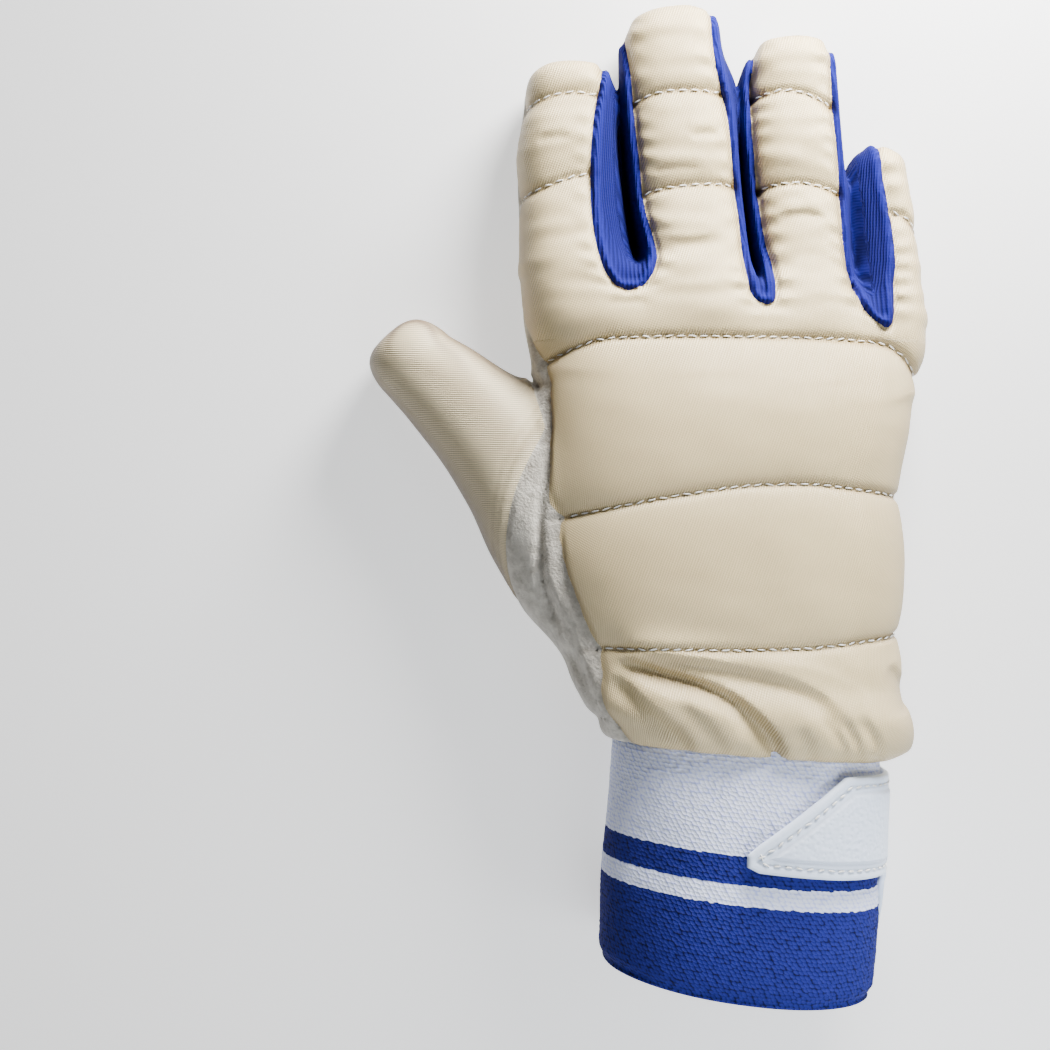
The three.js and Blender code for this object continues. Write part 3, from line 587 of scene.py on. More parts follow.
        self.outer = np.maximum(smooth_max(self.form, -z, FLOOR_ROUNDING) + relief, -z)
        wall = WALL_PALM + (WALL_BACK - WALL_PALM) * ramp(0, 6, self.over_seam) * hand_side
        wall = wall + WALL_MORE_AT_GUSSETS * ramp(0.5, -0.5, inside)
        hollow = np.maximum(self.outer + wall, WALL_PALM + 0.2 - z)
        self.shell = np.maximum(self.outer, -hollow)

    def _bulge(self) -> np.ndarray:
        """Where the fourchettes fill the room between two fingers, from 0 to 1."""
        y = self.plan_y
        total = 0.0
        for name, strip in self.gussets.items():
            foot, tip = GUSSETS[name][0][0], min(GUSSET_TIPS[name])
            along = ramp(0, 12, y - foot) * ramp(2, 13, tip - y)
            total = total + ramp(0.3, -2.2, strip) * along[:, :, None]
        return total

    def _gusset(self, rows: tuple) -> np.ndarray:
        """How far outside a fourchette's strip each place is, from the back to the palm."""
        x, y = self.plan_x, self.plan_y
        table = np.array(rows, float)

        def outside(deeper: float, narrower: float) -> np.ndarray:
            """The same in plan, for a strip that starts deeper and is narrower."""
            place = y + deeper * ramp(90, 60, y)
            left = eased(table[:, 0], table[:, 1], place) + narrower
            right = eased(table[:, 0], table[:, 2], place) - narrower
            beside = np.abs(x - (left + right) / 2) - (right - left) / 2
            return np.maximum(beside, table[0, 0] - place)

        back, palm = outside(0, 0), outside(GUSSET_PALM_DEEPER, GUSSET_PALM_NARROWER)
        share = ramp(*GUSSET_SPLIT, self.z)
        return palm[:, :, None] * (1 - share) + back[:, :, None] * share

    def _cuff_room(self) -> np.ndarray:
        """Room that the cuff and the strap take at the hem."""
        rows = tuple((r[1], r[2], r[4], r[5], r[3], -r[6]) for r in reversed(CUFF))
        cuff = Tube(rows, CUFF_SQUARENESS, 30.0, low=CUFF_LOW).field(self.x, self.y, self.z)
        turn = math.radians(CUFF_START[2])
        up = ((self.y - CUFF_START[1]) * math.cos(turn)
              - (self.x - CUFF_START[0]) * math.sin(turn))
        band = np.maximum(cuff, CUFF_REST - self.z)
        inside_hem = np.maximum(band - CUFF_ROOM, up - CUFF_UP)
        strap = np.maximum(cuff - STRAP_CLEAR - STRAP_THICK - STRAP_ROOM, up + STRAP_DOWN)
        return np.minimum(inside_hem, strap)

    def surface(self) -> tuple[np.ndarray, np.ndarray]:
        """The whole glove's outside and lining as one surface, as points and triangles."""
        turn = math.radians(HAND[0][4])
        hem = (self.x - HAND[0][0]) * math.sin(turn) - (self.y - HAND[0][1]) * math.cos(turn)
        body = smooth_max(self.shell, hem, HEM_ROUNDING)
        body = np.maximum(body, -self._cuff_room())
        points, quads = surface_nets(body, self.low)
        return points, triangles_of(quads)

    def regions(self, points: np.ndarray) -> dict[str, np.ndarray]:
        """For every piece a number for each point that is negative on the piece's own part."""
        past_seam = self.sample(self.past_seam, points)
        thumb = highest(-past_seam, self.sample(self.thumb - self.hand, points))
        over = self.sample(self.over_seam, points)
        strips = {name: highest(self.sample(strip, points), -thumb)
                  for name, strip in self.gussets.items()}
        gusset = lowest(*strips.values())
        x, y, z = points.T
        angle = math.radians(VENT["angle"])
        along = (x - VENT["x"]) * math.cos(angle) + (y - VENT["y"]) * math.sin(angle)
        out = (x - VENT["x"]) * math.sin(angle) - (y - VENT["y"]) * math.cos(angle)
        reach = highest(along - VENT["length"], z - VENT["height"], over)
        room = highest(-VENT["binding"] - out, reach)
        corner = highest(VENT["slit"] - out, reach)
        tape = highest(-VENT["binding"] - out, out, reach)
        upper = THUMB_SPLIT - z
        band = past_seam - THUMB_BAND
        return {
            "back_panel": lowest(highest(-thumb, -over, -gusset), corner),
            "palm_panel": highest(-thumb, over, -gusset, -room),
            "thumb_back": highest(thumb, upper),
            "thumb_front": highest(thumb, -upper, -band),
            "thumb_base_band": highest(thumb, -upper, band),
            "vent_binding": tape,
            **strips,
        }

    def sample(self, values: np.ndarray, points: np.ndarray) -> np.ndarray:
        """Values of a field, or of one in plan, at points in table millimetres."""
        plan = values.ndim == 2
        place = (points - self.low) / VOXEL
        if plan:
            place = place[:, :2]
        base = np.clip(np.floor(place).astype(int), 0, np.array(values.shape) - 2)
        part = np.clip(place - base, 0, 1)
        total = 0.0
        for corner in np.ndindex(*(2,) * place.shape[1]):
            c = np.array(corner)
            weight = np.prod(np.where(c, part, 1 - part), axis=1)
            total = total + weight * values[tuple((base + c).T)]
        return total

    def top(self, line: np.ndarray, below: bool = False) -> np.ndarray:
        """Places of a plan line on the glove's upper surface, or on its underside.

        Args:
            line: the line's points; only x and y are read.
            below: whether the underside is wanted.

        Returns:
            The points on the surface, with no height where the line misses the glove.
        """
        step = 0.25 if below else -0.25
        heights = np.arange(*((-1.2, 12.0) if below else (46.5, 8.0)), step)
        points = np.concatenate([np.repeat(line[:, :2], len(heights), 0),
                                 np.tile(heights, len(line))[:, None]], axis=1)
        inside = self.sample(self.outer, points).reshape(len(line), -1)
        first = np.argmax(inside < 0, axis=1)
        row = np.arange(len(line))
        a, b = inside[row, np.maximum(first - 1, 0)], inside[row, first]
        z = heights[first] - step * np.clip(b / np.minimum(b - a, -1e-6), 0, 1)
        return np.column_stack([line[:, :2], np.where(first > 0, z, np.nan)])


def surface_nets(values: np.ndarray, low: np.ndarray) -> tuple[np.ndarray, np.ndarray]:
    """The surface where a field is zero, as points and four-sided faces facing outwards.

    Args:
        values: the field on the grid, negative inside.
        low: the grid's lowest corner.

    Returns:
        Points in table millimetres, and the corner numbers of each face.
    """
    inside = values < 0
    shape = np.array(values.shape) - 1
    total, hits = np.zeros((*shape, 3)), np.zeros(shape)
    faces = []
    index = np.arange(np.prod(shape)).reshape(shape)
    for axis in range(3):
        a = [slice(None)] * 3
        b = [slice(None)] * 3
        a[axis], b[axis] = slice(0, -1), slice(1, None)
        va, vb = values[tuple(a)], values[tuple(b)]
        cross = inside[tuple(a)] != inside[tuple(b)]
        others = [i for i in range(3) if i != axis]
        where = np.argwhere(cross)
        share = va[cross] / (va[cross] - vb[cross])
        points = where.astype(float)
        points[:, axis] += share
        cells = []
        fits = np.ones(len(where), bool)
        for before, after in ((-1, -1), (0, -1), (0, 0), (-1, 0)):
            cell = where.copy()
            cell[:, others[0]] += before
            cell[:, others[1]] += after
            ok = np.all((cell >= 0) & (cell < shape), axis=1)
            fits &= ok
            cells.append(np.clip(cell, 0, shape - 1))
            np.add.at(total, tuple(cells[-1][ok].T), points[ok])
            np.add.at(hits, tuple(cells[-1][ok].T), 1)
        quad = np.stack([index[tuple(c.T)] for c in cells], axis=1)[fits]
        starts_inside = inside[tuple(a)][cross][fits]
        flip = starts_inside == (axis == 1)
        quad[flip] = quad[flip][:, ::-1]
        faces.append(quad)
    used = hits > 0
    place = total[used] / hits[used][:, None]
    number = np.full(shape, -1)
    number[used] = np.arange(used.sum())
    quads = number.ravel()[np.concatenate(faces)]
    return low + place * VOXEL, quads


def triangles_of(quads: np.ndarray) -> np.ndarray:
    """Each four-sided face as two triangles."""
    return np.concatenate([quads[:, (0, 1, 2)], quads[:, (0, 2, 3)]])


def cut_out(points: np.ndarray, triangles: np.ndarray,
            values: np.ndarray) -> tuple[np.ndarray, np.ndarray]:
    """The part of a surface where its values are negative, cut along the line where they are zero.

    Args:
        points: the surface's points.
        triangles: the corner numbers of its triangles.
        values: one number for each point.

    Returns:
        The points and triangles of the part.
    """
    inside = values < 0
    count = inside[triangles].sum(axis=1)
    cuts, found = [], [triangles[count == 3]]
    for number in (1, 2):
        part = triangles[count == number]
        first = (inside[part] == (number == 1)).argmax(axis=1)
        row = np.arange(len(part))
        cuts.append(np.stack([part[row, (first + i) % 3] for i in range(3)], axis=1))
    ends = np.concatenate([c[:, pair] for c in cuts for pair in ((0, 1), (0, 2))])
    ends = np.sort(ends, axis=1)
    edges, place = np.unique(ends, axis=0, return_inverse=True)
    share = values[edges[:, 0]] / (values[edges[:, 0]] - values[edges[:, 1]])
    share = np.clip(share, 0.02, 0.98)[:, None]
    more = points[edges[:, 0]] * (1 - share) + points[edges[:, 1]] * share
    place = place.ravel() + len(points)
    one, two = len(cuts[0]), len(cuts[1])
    ab, ac = place[:one], place[one:2 * one]
    found.append(np.stack([cuts[0][:, 0], ab, ac], axis=1))
    ab, ac = place[2 * one:2 * one + two], place[2 * one + two:]
    b, c = cuts[1][:, 1], cuts[1][:, 2]
    found += [np.stack([ab, b, c], axis=1), np.stack([ab, c, ac], axis=1)]
    faces = np.concatenate(found)
    used, numbered = np.unique(faces, return_inverse=True)
    return np.concatenate([points, more])[used], numbered.reshape(-1, 3)


def make_mesh(name: str, points: np.ndarray, faces: np.ndarray, attributes: dict | None = None,
              uv: np.ndarray | None = None) -> bpy.types.Object:
    """A smooth-shaded object in the row frame from points in table millimetres.

    Args:
        name: the object's name.
        points: its vertices.
        faces: the corner numbers of its faces.
        attributes: numbers for each vertex, by name.
        uv: a place on the cloth for each vertex.

    Returns:
        The linked object.
    """
    mesh = bpy.data.meshes.new(name)
    mesh.from_pydata(SPACE.metres(points).tolist(), [], [list(map(int, f)) for f in faces])
    mesh.update()
    mesh.shade_smooth()
    for key, values in (attributes or {}).items():
        layer = mesh.attributes.new(key, "FLOAT", "POINT")
        layer.data.foreach_set("value", np.asarray(values, np.float32).ravel())
    if uv is not None:
        corners = np.empty(len(mesh.loops), int)
        mesh.loops.foreach_get("vertex_index", corners)
        layer = mesh.uv_layers.new(name="cloth")
        layer.data.foreach_set("uv", uv[corners].astype(np.float32).ravel())
    made = bpy.data.objects.new(name, mesh)
    bpy.context.scene.collection.objects.link(made)
    return made


# Materials


NUMBER = "NodeSocketFloat"
Value = float | bpy.types.NodeSocket
Colour = tuple | bpy.types.NodeSocket


class Tree:
    """A node tree, with short ways to add nodes and join their sockets."""

    def __init__(self, tree: bpy.types.NodeTree) -> None:
        """Takes a tree and empties it."""
        self.tree = tree
        self.tree.nodes.clear()

    def add(self, kind: str, settings: dict | None = None, **inputs: object) -> bpy.types.Node:
        """A node with its settings and inputs; an input may be a value or a socket."""
        node = self.tree.nodes.new(kind)
        for key, value in (settings or {}).items():
            setattr(node, key, value)
        for key, value in inputs.items():
            self.set(node, key.replace("_", " "), value)
        return node

    def set(self, node: bpy.types.Node, key: str | int, value: object) -> None:
        """Gives one input a value or a link."""
        socket = node.inputs[key]
        if isinstance(value, bpy.types.NodeSocket):
            self.tree.links.new(value, socket)
        else:
            socket.default_value = value

    def math(self, operation: str, a: Value, b: Value = 0.0,
             c: Value = 0.0) -> bpy.types.NodeSocket:
        """The result of a sum on up to three numbers."""
        node = self.add("ShaderNodeMath", {"operation": operation})
        for i, value in enumerate((a, b, c)):
            self.set(node, i, value)
        return node.outputs[0]

    def times(self, a: Value, b: Value) -> bpy.types.NodeSocket:
        """Two numbers multiplied."""
        return self.math("MULTIPLY", a, b)

    def plus(self, a: Value, b: Value) -> bpy.types.NodeSocket:
        """Two numbers added."""
        return self.math("ADD", a, b)

    def under(self, middle: float, value: Value, weight: float) -> bpy.types.NodeSocket:
        """How far a value lies under its middle, weighted."""
        return self.times(self.math("SUBTRACT", middle, value), weight)

    def mix(self, share: Value, a: Colour, b: Colour) -> bpy.types.NodeSocket:
        """A colour between a and b."""
        node = self.add("ShaderNodeMix", {"data_type": "RGBA"})
        for i, value in ((0, share), (6, a), (7, b)):
            self.set(node, i, value)
        return node.outputs[2]

    def attribute(self, name: str) -> bpy.types.NodeSocket:
        """A number that the mesh keeps for each vertex."""
        return self.add("ShaderNodeAttribute", {"attribute_name": name}).outputs["Fac"]

    def group(self, group: bpy.types.NodeTree, **inputs: object) -> bpy.types.Node:
        """A shared shader group with its inputs."""
        node = self.add("ShaderNodeGroup", {"node_tree": group})
        for key, value in inputs.items():
            self.set(node, key, value)
        return node

    def dress(self, shader: bpy.types.Node, share: Value, colours: tuple[Colour, Colour],
              relief: tuple[float, float], height: Value) -> None:
        """Gives a shader its colour and its bump.

        Args:
            shader: the shader.
            share: how far the colour goes from the first to the second; it is kept to 0 to 1.
            colours: the two colours.
            relief: the bump's strength, and its depth in metres.
            height: the bump's height.
        """
        kept = self.add("ShaderNodeClamp", Value=share)
        self.set(shader, "Base Color", self.mix(kept.outputs[0], *colours))
        bump = self.add("ShaderNodeBump", Strength=relief[0], Distance=relief[1], Height=height)
        self.set(shader, "Normal", bump.outputs[0])


def shader_group(name: str, inputs: tuple, outputs: tuple) -> tuple:
    """A new shader group with its sockets.

    Args:
        name: the group's name.
        inputs: name, kind and first value of each input.
        outputs: names of the outputs, which are numbers.

    Returns:
        The group, its tree, its input node and its output node.
    """
    group = bpy.data.node_groups.new(name, "ShaderNodeTree")
    for key, kind, value in inputs:
        socket = group.interface.new_socket(key, in_out="INPUT", socket_type=kind)
        socket.default_value = value
    for key in outputs:
        group.interface.new_socket(key, in_out="OUTPUT", socket_type=NUMBER)
    tree = Tree(group)
    return group, tree, group.nodes.new("NodeGroupInput"), group.nodes.new("NodeGroupOutput")


class Effects:
    """Shader groups that several materials share. They give heights and masks only."""

    def __init__(self) -> None:
        """Makes the three groups."""
        self.weave = self._weave()
        self.nap = self._nap()
        self.blotches = self._blotches()

    @staticmethod
    def _weave() -> bpy.types.NodeTree:
        """Fine knit on the flattened cloth: rows of loops in millimetres, turned by an angle."""
        inputs = (("Place", "NodeSocketVector", (0.0, 0.0, 0.0)), ("Pitch", NUMBER, 0.7),
                  ("Loop", NUMBER, 0.6), ("Angle", NUMBER, 0.0), ("Waver", NUMBER, 0.3),
                  ("Rib", NUMBER, 0.8))
        group, t, entry, end = shader_group("knit_weave", inputs, ("Height",))
        given = entry.outputs
        coords = t.add("ShaderNodeTexCoord")
        turn = t.add("ShaderNodeVectorRotate", {"rotation_type": "Z_AXIS"},
                     Vector=given["Place"], Angle=given["Angle"])
        noise = t.add("ShaderNodeTexNoise", Vector=coords.outputs["Object"], Scale=260.0,
                      Detail=2.0)
        xyz = t.add("ShaderNodeSeparateXYZ", Vector=turn.outputs[0])
        waver = t.times(t.math("SUBTRACT", noise.outputs[0], 0.5), given["Waver"])
        lines = t.math("DIVIDE", xyz.outputs[0], given["Pitch"])
        loops = t.math("DIVIDE", xyz.outputs[1], given["Loop"])
        wale = t.math("SINE", t.times(t.plus(lines, waver), 2 * math.pi))
        shifted = t.plus(loops, t.times(t.math("ABSOLUTE", wale), 0.35))
        loop = t.math("SINE", t.times(t.plus(shifted, waver), 2 * math.pi))
        rib = t.times(given["Rib"], 0.5)
        height = t.plus(t.times(wale, rib), t.times(loop, t.math("SUBTRACT", 0.5, rib)))
        t.set(end, 0, t.plus(height, 0.5))
        return group

    @staticmethod
    def _noises(t: Tree, scales: list, **inputs: float) -> list[bpy.types.NodeSocket]:
        """Noises on the object, from a scale and a detail for each and inputs that they share."""
        coords = t.add("ShaderNodeTexCoord")
        return [t.add("ShaderNodeTexNoise", Vector=coords.outputs["Object"], Scale=scale,
                      Detail=detail, **inputs).outputs[0] for scale, detail in scales]

    def _nap(self) -> bpy.types.NodeTree:
        """Brushed fibres: fine grain, short clumps and patches where the nap lies over."""
        inputs = (("Grain", NUMBER, 1500.0), ("Clump", NUMBER, 330.0), ("Patch", NUMBER, 38.0))
        group, t, entry, end = shader_group("suede_nap", inputs, ("Height", "Clumps", "Patches"))
        grain, clump, patch = self._noises(
            t, list(zip(entry.outputs[:3], (2.0, 4.0, 3.0))), Roughness=0.6)
        height = t.plus(t.times(grain, 0.45), t.times(clump, 0.75))
        for i, value in enumerate((height, clump, patch)):
            t.set(end, i, value)
        return group

    def _blotches(self) -> bpy.types.NodeTree:
        """Broad soft noise patches and small noise flecks."""
        inputs = (("Broad", NUMBER, 22.0), ("Flecks", NUMBER, 420.0))
        group, t, entry, end = shader_group("noise_blotches", inputs, ("Broad", "Flecks"))
        for i, value in enumerate(self._noises(t, list(zip(entry.outputs[:2], (3.0, 2.0))))):
            t.set(end, i, value)
        return group


@dataclass(frozen=True)
class Finish:
    """What one slot's material looks like.

    Attributes:
        slot: the record's slot.
        colour: base colour, linear.
        painted_shade: colour of the painted shade in folds, seams, grooves and gaps and at a slant;
            the weave's darker loops lean to it as well.
        roughness: surface roughness.
        sheen: weight of the cloth's sheen.
        gloss: level of the surface's mirror reflection.
        edge: how much painted shade it takes where it is seen at a slant.
    """

    slot: Slot
    colour: tuple[float, float, float]
    painted_shade: tuple[float, float, float]
    roughness: float
    sheen: float
    gloss: float = 0.35
    edge: float = 0.0

    def start(self) -> tuple[bpy.types.Material, Tree, bpy.types.Node]:
        """A new material with its Principled shader joined to the output."""
        material = bpy.data.materials.new(self.slot.value)
        material.use_nodes = True
        tree = Tree(material.node_tree)
        shader = tree.add("ShaderNodeBsdfPrincipled", Roughness=self.roughness,
                          Sheen_Weight=self.sheen, Sheen_Roughness=0.45,
                          Specular_IOR_Level=self.gloss)
        tree.add("ShaderNodeOutputMaterial", Surface=shader.outputs[0])
        return material, tree, shader

    @property
    def colours(self) -> tuple[Colour, Colour]:
        """The base colour and that of its painted shade, as sockets take them."""
        return (*self.colour, 1.0), (*self.painted_shade, 1.0)


@dataclass(frozen=True)
class Knit:
    """How a knit is laid out on the flattened cloth.

    Attributes:
        pitch: width of a row of loops, mm.
        loop: length of a loop, mm.
        angle: how far the rows are turned, radians.
        depth: depth of the bump, metres.
        rib: how far the rows stand out over the loops in them.
    """

    pitch: float
    loop: float
    angle: float
    depth: float
    rib: float = 0.8


# Each finish's second colour is that of its painted shade; its last number is how much painted
# shade it takes at a slant.
SATIN = Finish(Slot.SATIN, (0.76, 0.61, 0.33), (0.22, 0.135, 0.04), 0.36, 0.05, 0.5, 0.7)
JERSEY = Finish(Slot.JERSEY, (0.74, 0.62, 0.40), (0.13, 0.08, 0.035), 0.45, 0.05, 0.4, 1.25)
GUSSET = Finish(Slot.GUSSET, (0.009, 0.010, 0.16), (0.001, 0.002, 0.03), 0.9, 0.0, 0.12)
BINDING = Finish(Slot.BINDING, (0.012, 0.018, 0.13), (0.005, 0.008, 0.05), 0.8, 0.0, 0.15)
SUEDE = Finish(Slot.SUEDE, (0.62, 0.58, 0.50), (0.25, 0.22, 0.18), 0.95, 0.25, 0.1)
ELASTIC = Finish(Slot.ELASTIC, (0.80, 0.84, 1.0), (0.48, 0.54, 0.92), 0.9, 0.0, 0.2)
STRAP = Finish(Slot.STRAP, (0.76, 0.85, 1.0), (0.34, 0.38, 0.47), 0.40, 0.0)
# BLUE_IN_PAINTED_SHADE is the painted shade in the gaps between the blue bands' loops.
BLUE, BLUE_IN_PAINTED_SHADE = (0.013, 0.018, 0.19, 1), (0.0016, 0.003, 0.03, 1)  # the elastic's bands
THREAD, THREAD_SHADE = (0.97, 0.96, 0.92, 1), (0.78, 0.76, 0.70, 1)


class Materials:
    """Every material of the glove, one for each slot, and the thread's."""

    loop = (1.25, 1.02)  # width and depth of one loop of the elastic, mm

    def __init__(self) -> None:
        """Makes every material."""
        self.effects = Effects()
        self.made = {
            Slot.SATIN: self._knit(SATIN, Knit(0.64, 0.58, 0.35, 0.00024, 0.74)),
            Slot.JERSEY: self._knit(JERSEY, Knit(0.56, 0.6, -0.75, 0.00013, 0.85)),
            Slot.GUSSET: self._knit(GUSSET, Knit(1.05, 0.8, 0.0, 0.00035, 0.9)),
            Slot.BINDING: self._knit(BINDING, Knit(0.5, 0.5, 0.8, 0.0001)),
            Slot.SUEDE: self._suede(SUEDE),
            Slot.ELASTIC: self._elastic(ELASTIC),
            Slot.STRAP: self._strap(STRAP),
        }
        self.thread = self._thread()

    def _knit(self, finish: Finish, knit: Knit) -> bpy.types.Material:
        """Knitted cloth, with painted shade along seams, quilting and folds and at a slant."""
        material, t, shader = finish.start()
        place = t.add("ShaderNodeUVMap", {"uv_map": "cloth"})
        weave = t.group(self.effects.weave, Place=place.outputs[0], Pitch=knit.pitch,
                        Loop=knit.loop, Angle=knit.angle, Rib=knit.rib, Waver=0.45).outputs[0]
        blotches = t.group(self.effects.blotches).outputs[0]
        # Painted shade in seams, stitched lines and folds, with noise blotches.
        share = t.plus(t.times(t.attribute("painted_shade"), 0.75), t.under(0.55, blotches, 0.5))
        share = t.plus(share, t.under(0.5, weave, 0.6))
        # Painted shade where the cloth is seen at a slant, growing towards its outline.
        slant = t.add("ShaderNodeLayerWeight", Blend=0.5).outputs["Facing"]
        share = t.plus(share, t.times(t.math("POWER", slant, 1.4), finish.edge))
        t.dress(shader, share, finish.colours, (0.7, knit.depth), weave)
        return material

    def _suede(self, finish: Finish) -> bpy.types.Material:
        """Suede with its nap brushed into lighter and darker patches."""
        material, t, shader = finish.start()
        height, clumps, patches = t.group(self.effects.nap).outputs
        share = t.plus(t.under(0.62, clumps, 1.9), t.under(0.5, patches, 0.9))
        # Painted shade in the palm's stitched lines, seams and folds.
        share = t.plus(share, t.times(t.attribute("painted_shade"), 0.6))
        t.dress(shader, share, finish.colours, (0.9, 0.0007), height)
        return material

    def _elastic(self, finish: Finish) -> bpy.types.Material:
        """Knitted elastic in white and blue bands, with painted shade in the gaps between its
        loops.
        """
        material, t, shader = finish.start()
        width, length = self.loop
        coords = t.add("ShaderNodeUVMap", {"uv_map": "cloth"})
        xyz = t.add("ShaderNodeSeparateXYZ", Vector=coords.outputs[0])
        slant = t.plus(t.math("DIVIDE", xyz.outputs[0], width),
                       t.math("DIVIDE", xyz.outputs[1], 2 * length))
        place = t.add("ShaderNodeCombineXYZ", X=slant,
                      Y=t.math("DIVIDE", xyz.outputs[1], length))
        cell = t.add("ShaderNodeTexVoronoi", {"voronoi_dimensions": "2D"},
                     Vector=place.outputs[0], Scale=1.0, Randomness=0.42)
        away = cell.outputs["Distance"]
        centre = t.add("ShaderNodeSeparateXYZ", Vector=cell.outputs["Position"])
        depth = t.times(centre.outputs[1], length)
        blue = 0.0
        for start, end in CUFF_BANDS:
            within = t.times(t.math("GREATER_THAN", depth, start),
                             t.math("LESS_THAN", depth, end))
            blue = t.math("MAXIMUM", blue, within)
        flecks = t.group(self.effects.blotches, Flecks=2400.0).outputs[1]
        colours = tuple(t.mix(blue, white, band)
                        for white, band in zip(finish.colours, (BLUE, BLUE_IN_PAINTED_SHADE)))
        # Painted shade in the gaps between the loops: lavender on the white, near black on the
        # blue.
        gap = t.add("ShaderNodeMapRange", {"interpolation_type": "SMOOTHSTEP"}, Value=away,
                    From_Min=0.30, From_Max=0.74)
        share = t.plus(gap.outputs[0], t.under(0.5, flecks, 0.8))
        dome = t.math("SUBTRACT", 1.0, t.times(t.math("POWER", away, 2.0), 1.6))
        t.dress(shader, share, colours, (0.8, 0.0003), t.plus(dome, t.times(flecks, 0.35)))
        return material

    def _strap(self, finish: Finish) -> bpy.types.Material:
        """Coated strap: a smooth border round a grained panel, with painted shade along its
        stitched groove.
        """
        material, t, shader = finish.start()
        coords = t.add("ShaderNodeTexCoord")
        grain = t.add("ShaderNodeTexVoronoi", {"feature": "SMOOTH_F1"},
                      Vector=coords.outputs["Object"], Scale=900.0)
        blotches = t.group(self.effects.blotches).outputs[0]
        # Painted shade along the stitched groove and on the underside.
        share = t.plus(t.times(t.attribute("painted_shade"), 0.6), t.under(0.5, blotches, 0.3))
        height = t.times(grain.outputs[0], t.plus(t.times(t.attribute("panel"), 0.8), 0.2))
        t.dress(shader, share, finish.colours, (0.8, 0.0003), height)
        return material

    @staticmethod
    def _thread() -> bpy.types.Material:
        """White sewing thread, twisted."""
        material = bpy.data.materials.new("thread")
        material.use_nodes = True
        t = Tree(material.node_tree)
        shader = t.add("ShaderNodeBsdfPrincipled", Roughness=0.6, Sheen_Weight=0.2)
        coords = t.add("ShaderNodeTexCoord")
        noise = t.add("ShaderNodeTexNoise", Vector=coords.outputs["Object"], Scale=2500.0)
        t.set(shader, "Base Color", t.mix(noise.outputs[0], THREAD, THREAD_SHADE))
        t.add("ShaderNodeOutputMaterial", Surface=shader.outputs[0])
        return material


# Sub-assemblies


@dataclass
class Hand:
    """Panels, fourchettes, thumb and vent, all cut from one field."""

    field: GloveField
    materials: Materials
    slots: dict

    def build(self) -> None:
        """Makes each piece, gives it its finish and puts it on its node."""
        points, triangles = self.field.surface()
        for name, values in self.field.regions(points).items():
            self._piece(name, *cut_out(points, triangles, values))

    def _piece(self, name: str, points: np.ndarray, faces: np.ndarray) -> None:
        """Makes one piece, with the painted shade of its seams, stitched lines and folds, and its
        place on the cloth.
        """
        made = make_mesh(name + "_soft", points, faces, {"painted_shade": self._painted_shade(points)},
                         self._cloth(name, points))
        made.data.materials.append(self.materials.made[self.slots[name]])
        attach(made, BODY)
        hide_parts(name)
        LOG.info("%s: %d faces", made.name, len(faces))

    @staticmethod
    def _cloth(name: str, points: np.ndarray) -> np.ndarray:
        """A place on the flattened cloth for each point: across and along, in millimetres.

        Args:
            name: the piece's node.
            points: the piece's points, in table millimetres.

        Returns:
            The places; past the crown of a finger or of the hand, the depth is walked as well.
        """
        x, y, z = points.T
        way = 1.0
        tables = [np.array(rows) for rows in GUSSETS.values()]
        middles = [eased(table[:, 0], table[:, 1:].mean(axis=1), y) for table in tables]
        if name.startswith("thumb"):
            h = math.radians(THUMB_HEADING)
            x, y = x * math.cos(h) + y * math.sin(h), y * math.cos(h) - x * math.sin(h)
            rows = np.array(THUMB)
            centre = rows[:, 0] * math.cos(h) + rows[:, 1] * math.sin(h)
            along = rows[:, 1] * math.cos(h) - rows[:, 0] * math.sin(h)
            middle, crown = np.interp(y, along, centre), np.interp(y, along, rows[:, 3])
        elif name in GUSSETS:
            middle, crown, way = middles[list(GUSSETS).index(name)], 30.0, -1.0
        else:
            rows = np.array(HAND)
            middle, crown = (np.interp(y, rows[:, 1], rows[:, c]) for c in (0, 3))
            between = sum((x > m).astype(int) for m in middles)
            for i, (_, _, finger) in enumerate(FINGERS.values()):
                rows = np.array(finger)
                on = (between == i) & (y > 48)
                middle = np.where(on, np.interp(y, rows[:, 1], rows[:, 0]), middle)
                crown = np.where(on, np.interp(y, rows[:, 1], rows[:, 3]), crown)
        walked = np.maximum(crown - z - 5.0, 0)
        return np.column_stack([x + way * np.sign(x - middle) * walked, y])

    def _painted_shade(self, points: np.ndarray) -> np.ndarray:
        """How much painted shade each point takes, from 0 to 1: in a seam, a stitched line or a
        fold, deep in a fourchette and in its slit.
        """
        f = self.field
        upper = f.sample(f.over_seam, points) > 0
        lines = np.where(upper, f.sample(f.quilt, points), f.sample(f.palm_quilt, points))
        seam = lowest(*[np.abs(f.sample(g, points)) for g in f.gussets.values()])
        seam = np.minimum(seam, np.abs(f.sample(f.over_seam, points)))
        found = np.maximum(0.55 * hump(lines, 1.2), 0.42 * hump(seam, 0.8))
        strip = lowest(*[f.sample(g, points) for g in f.gussets.values()])
        slit = f.sample(f.slit, points) * ramp(8, 12, points[:, 2])
        # Painted shade deep inside each fourchette and down its slit.
        inner = 0.68 * ramp(-2.0, -3.2, strip) + 0.5 * slit
        found = np.maximum(found, (strip < -0.8) * inner)
        # Painted shade in the folds of the back, by their depth.
        return np.clip(np.maximum(found, upper * f.sample(f.folded, points) * 0.7), 0, 1)


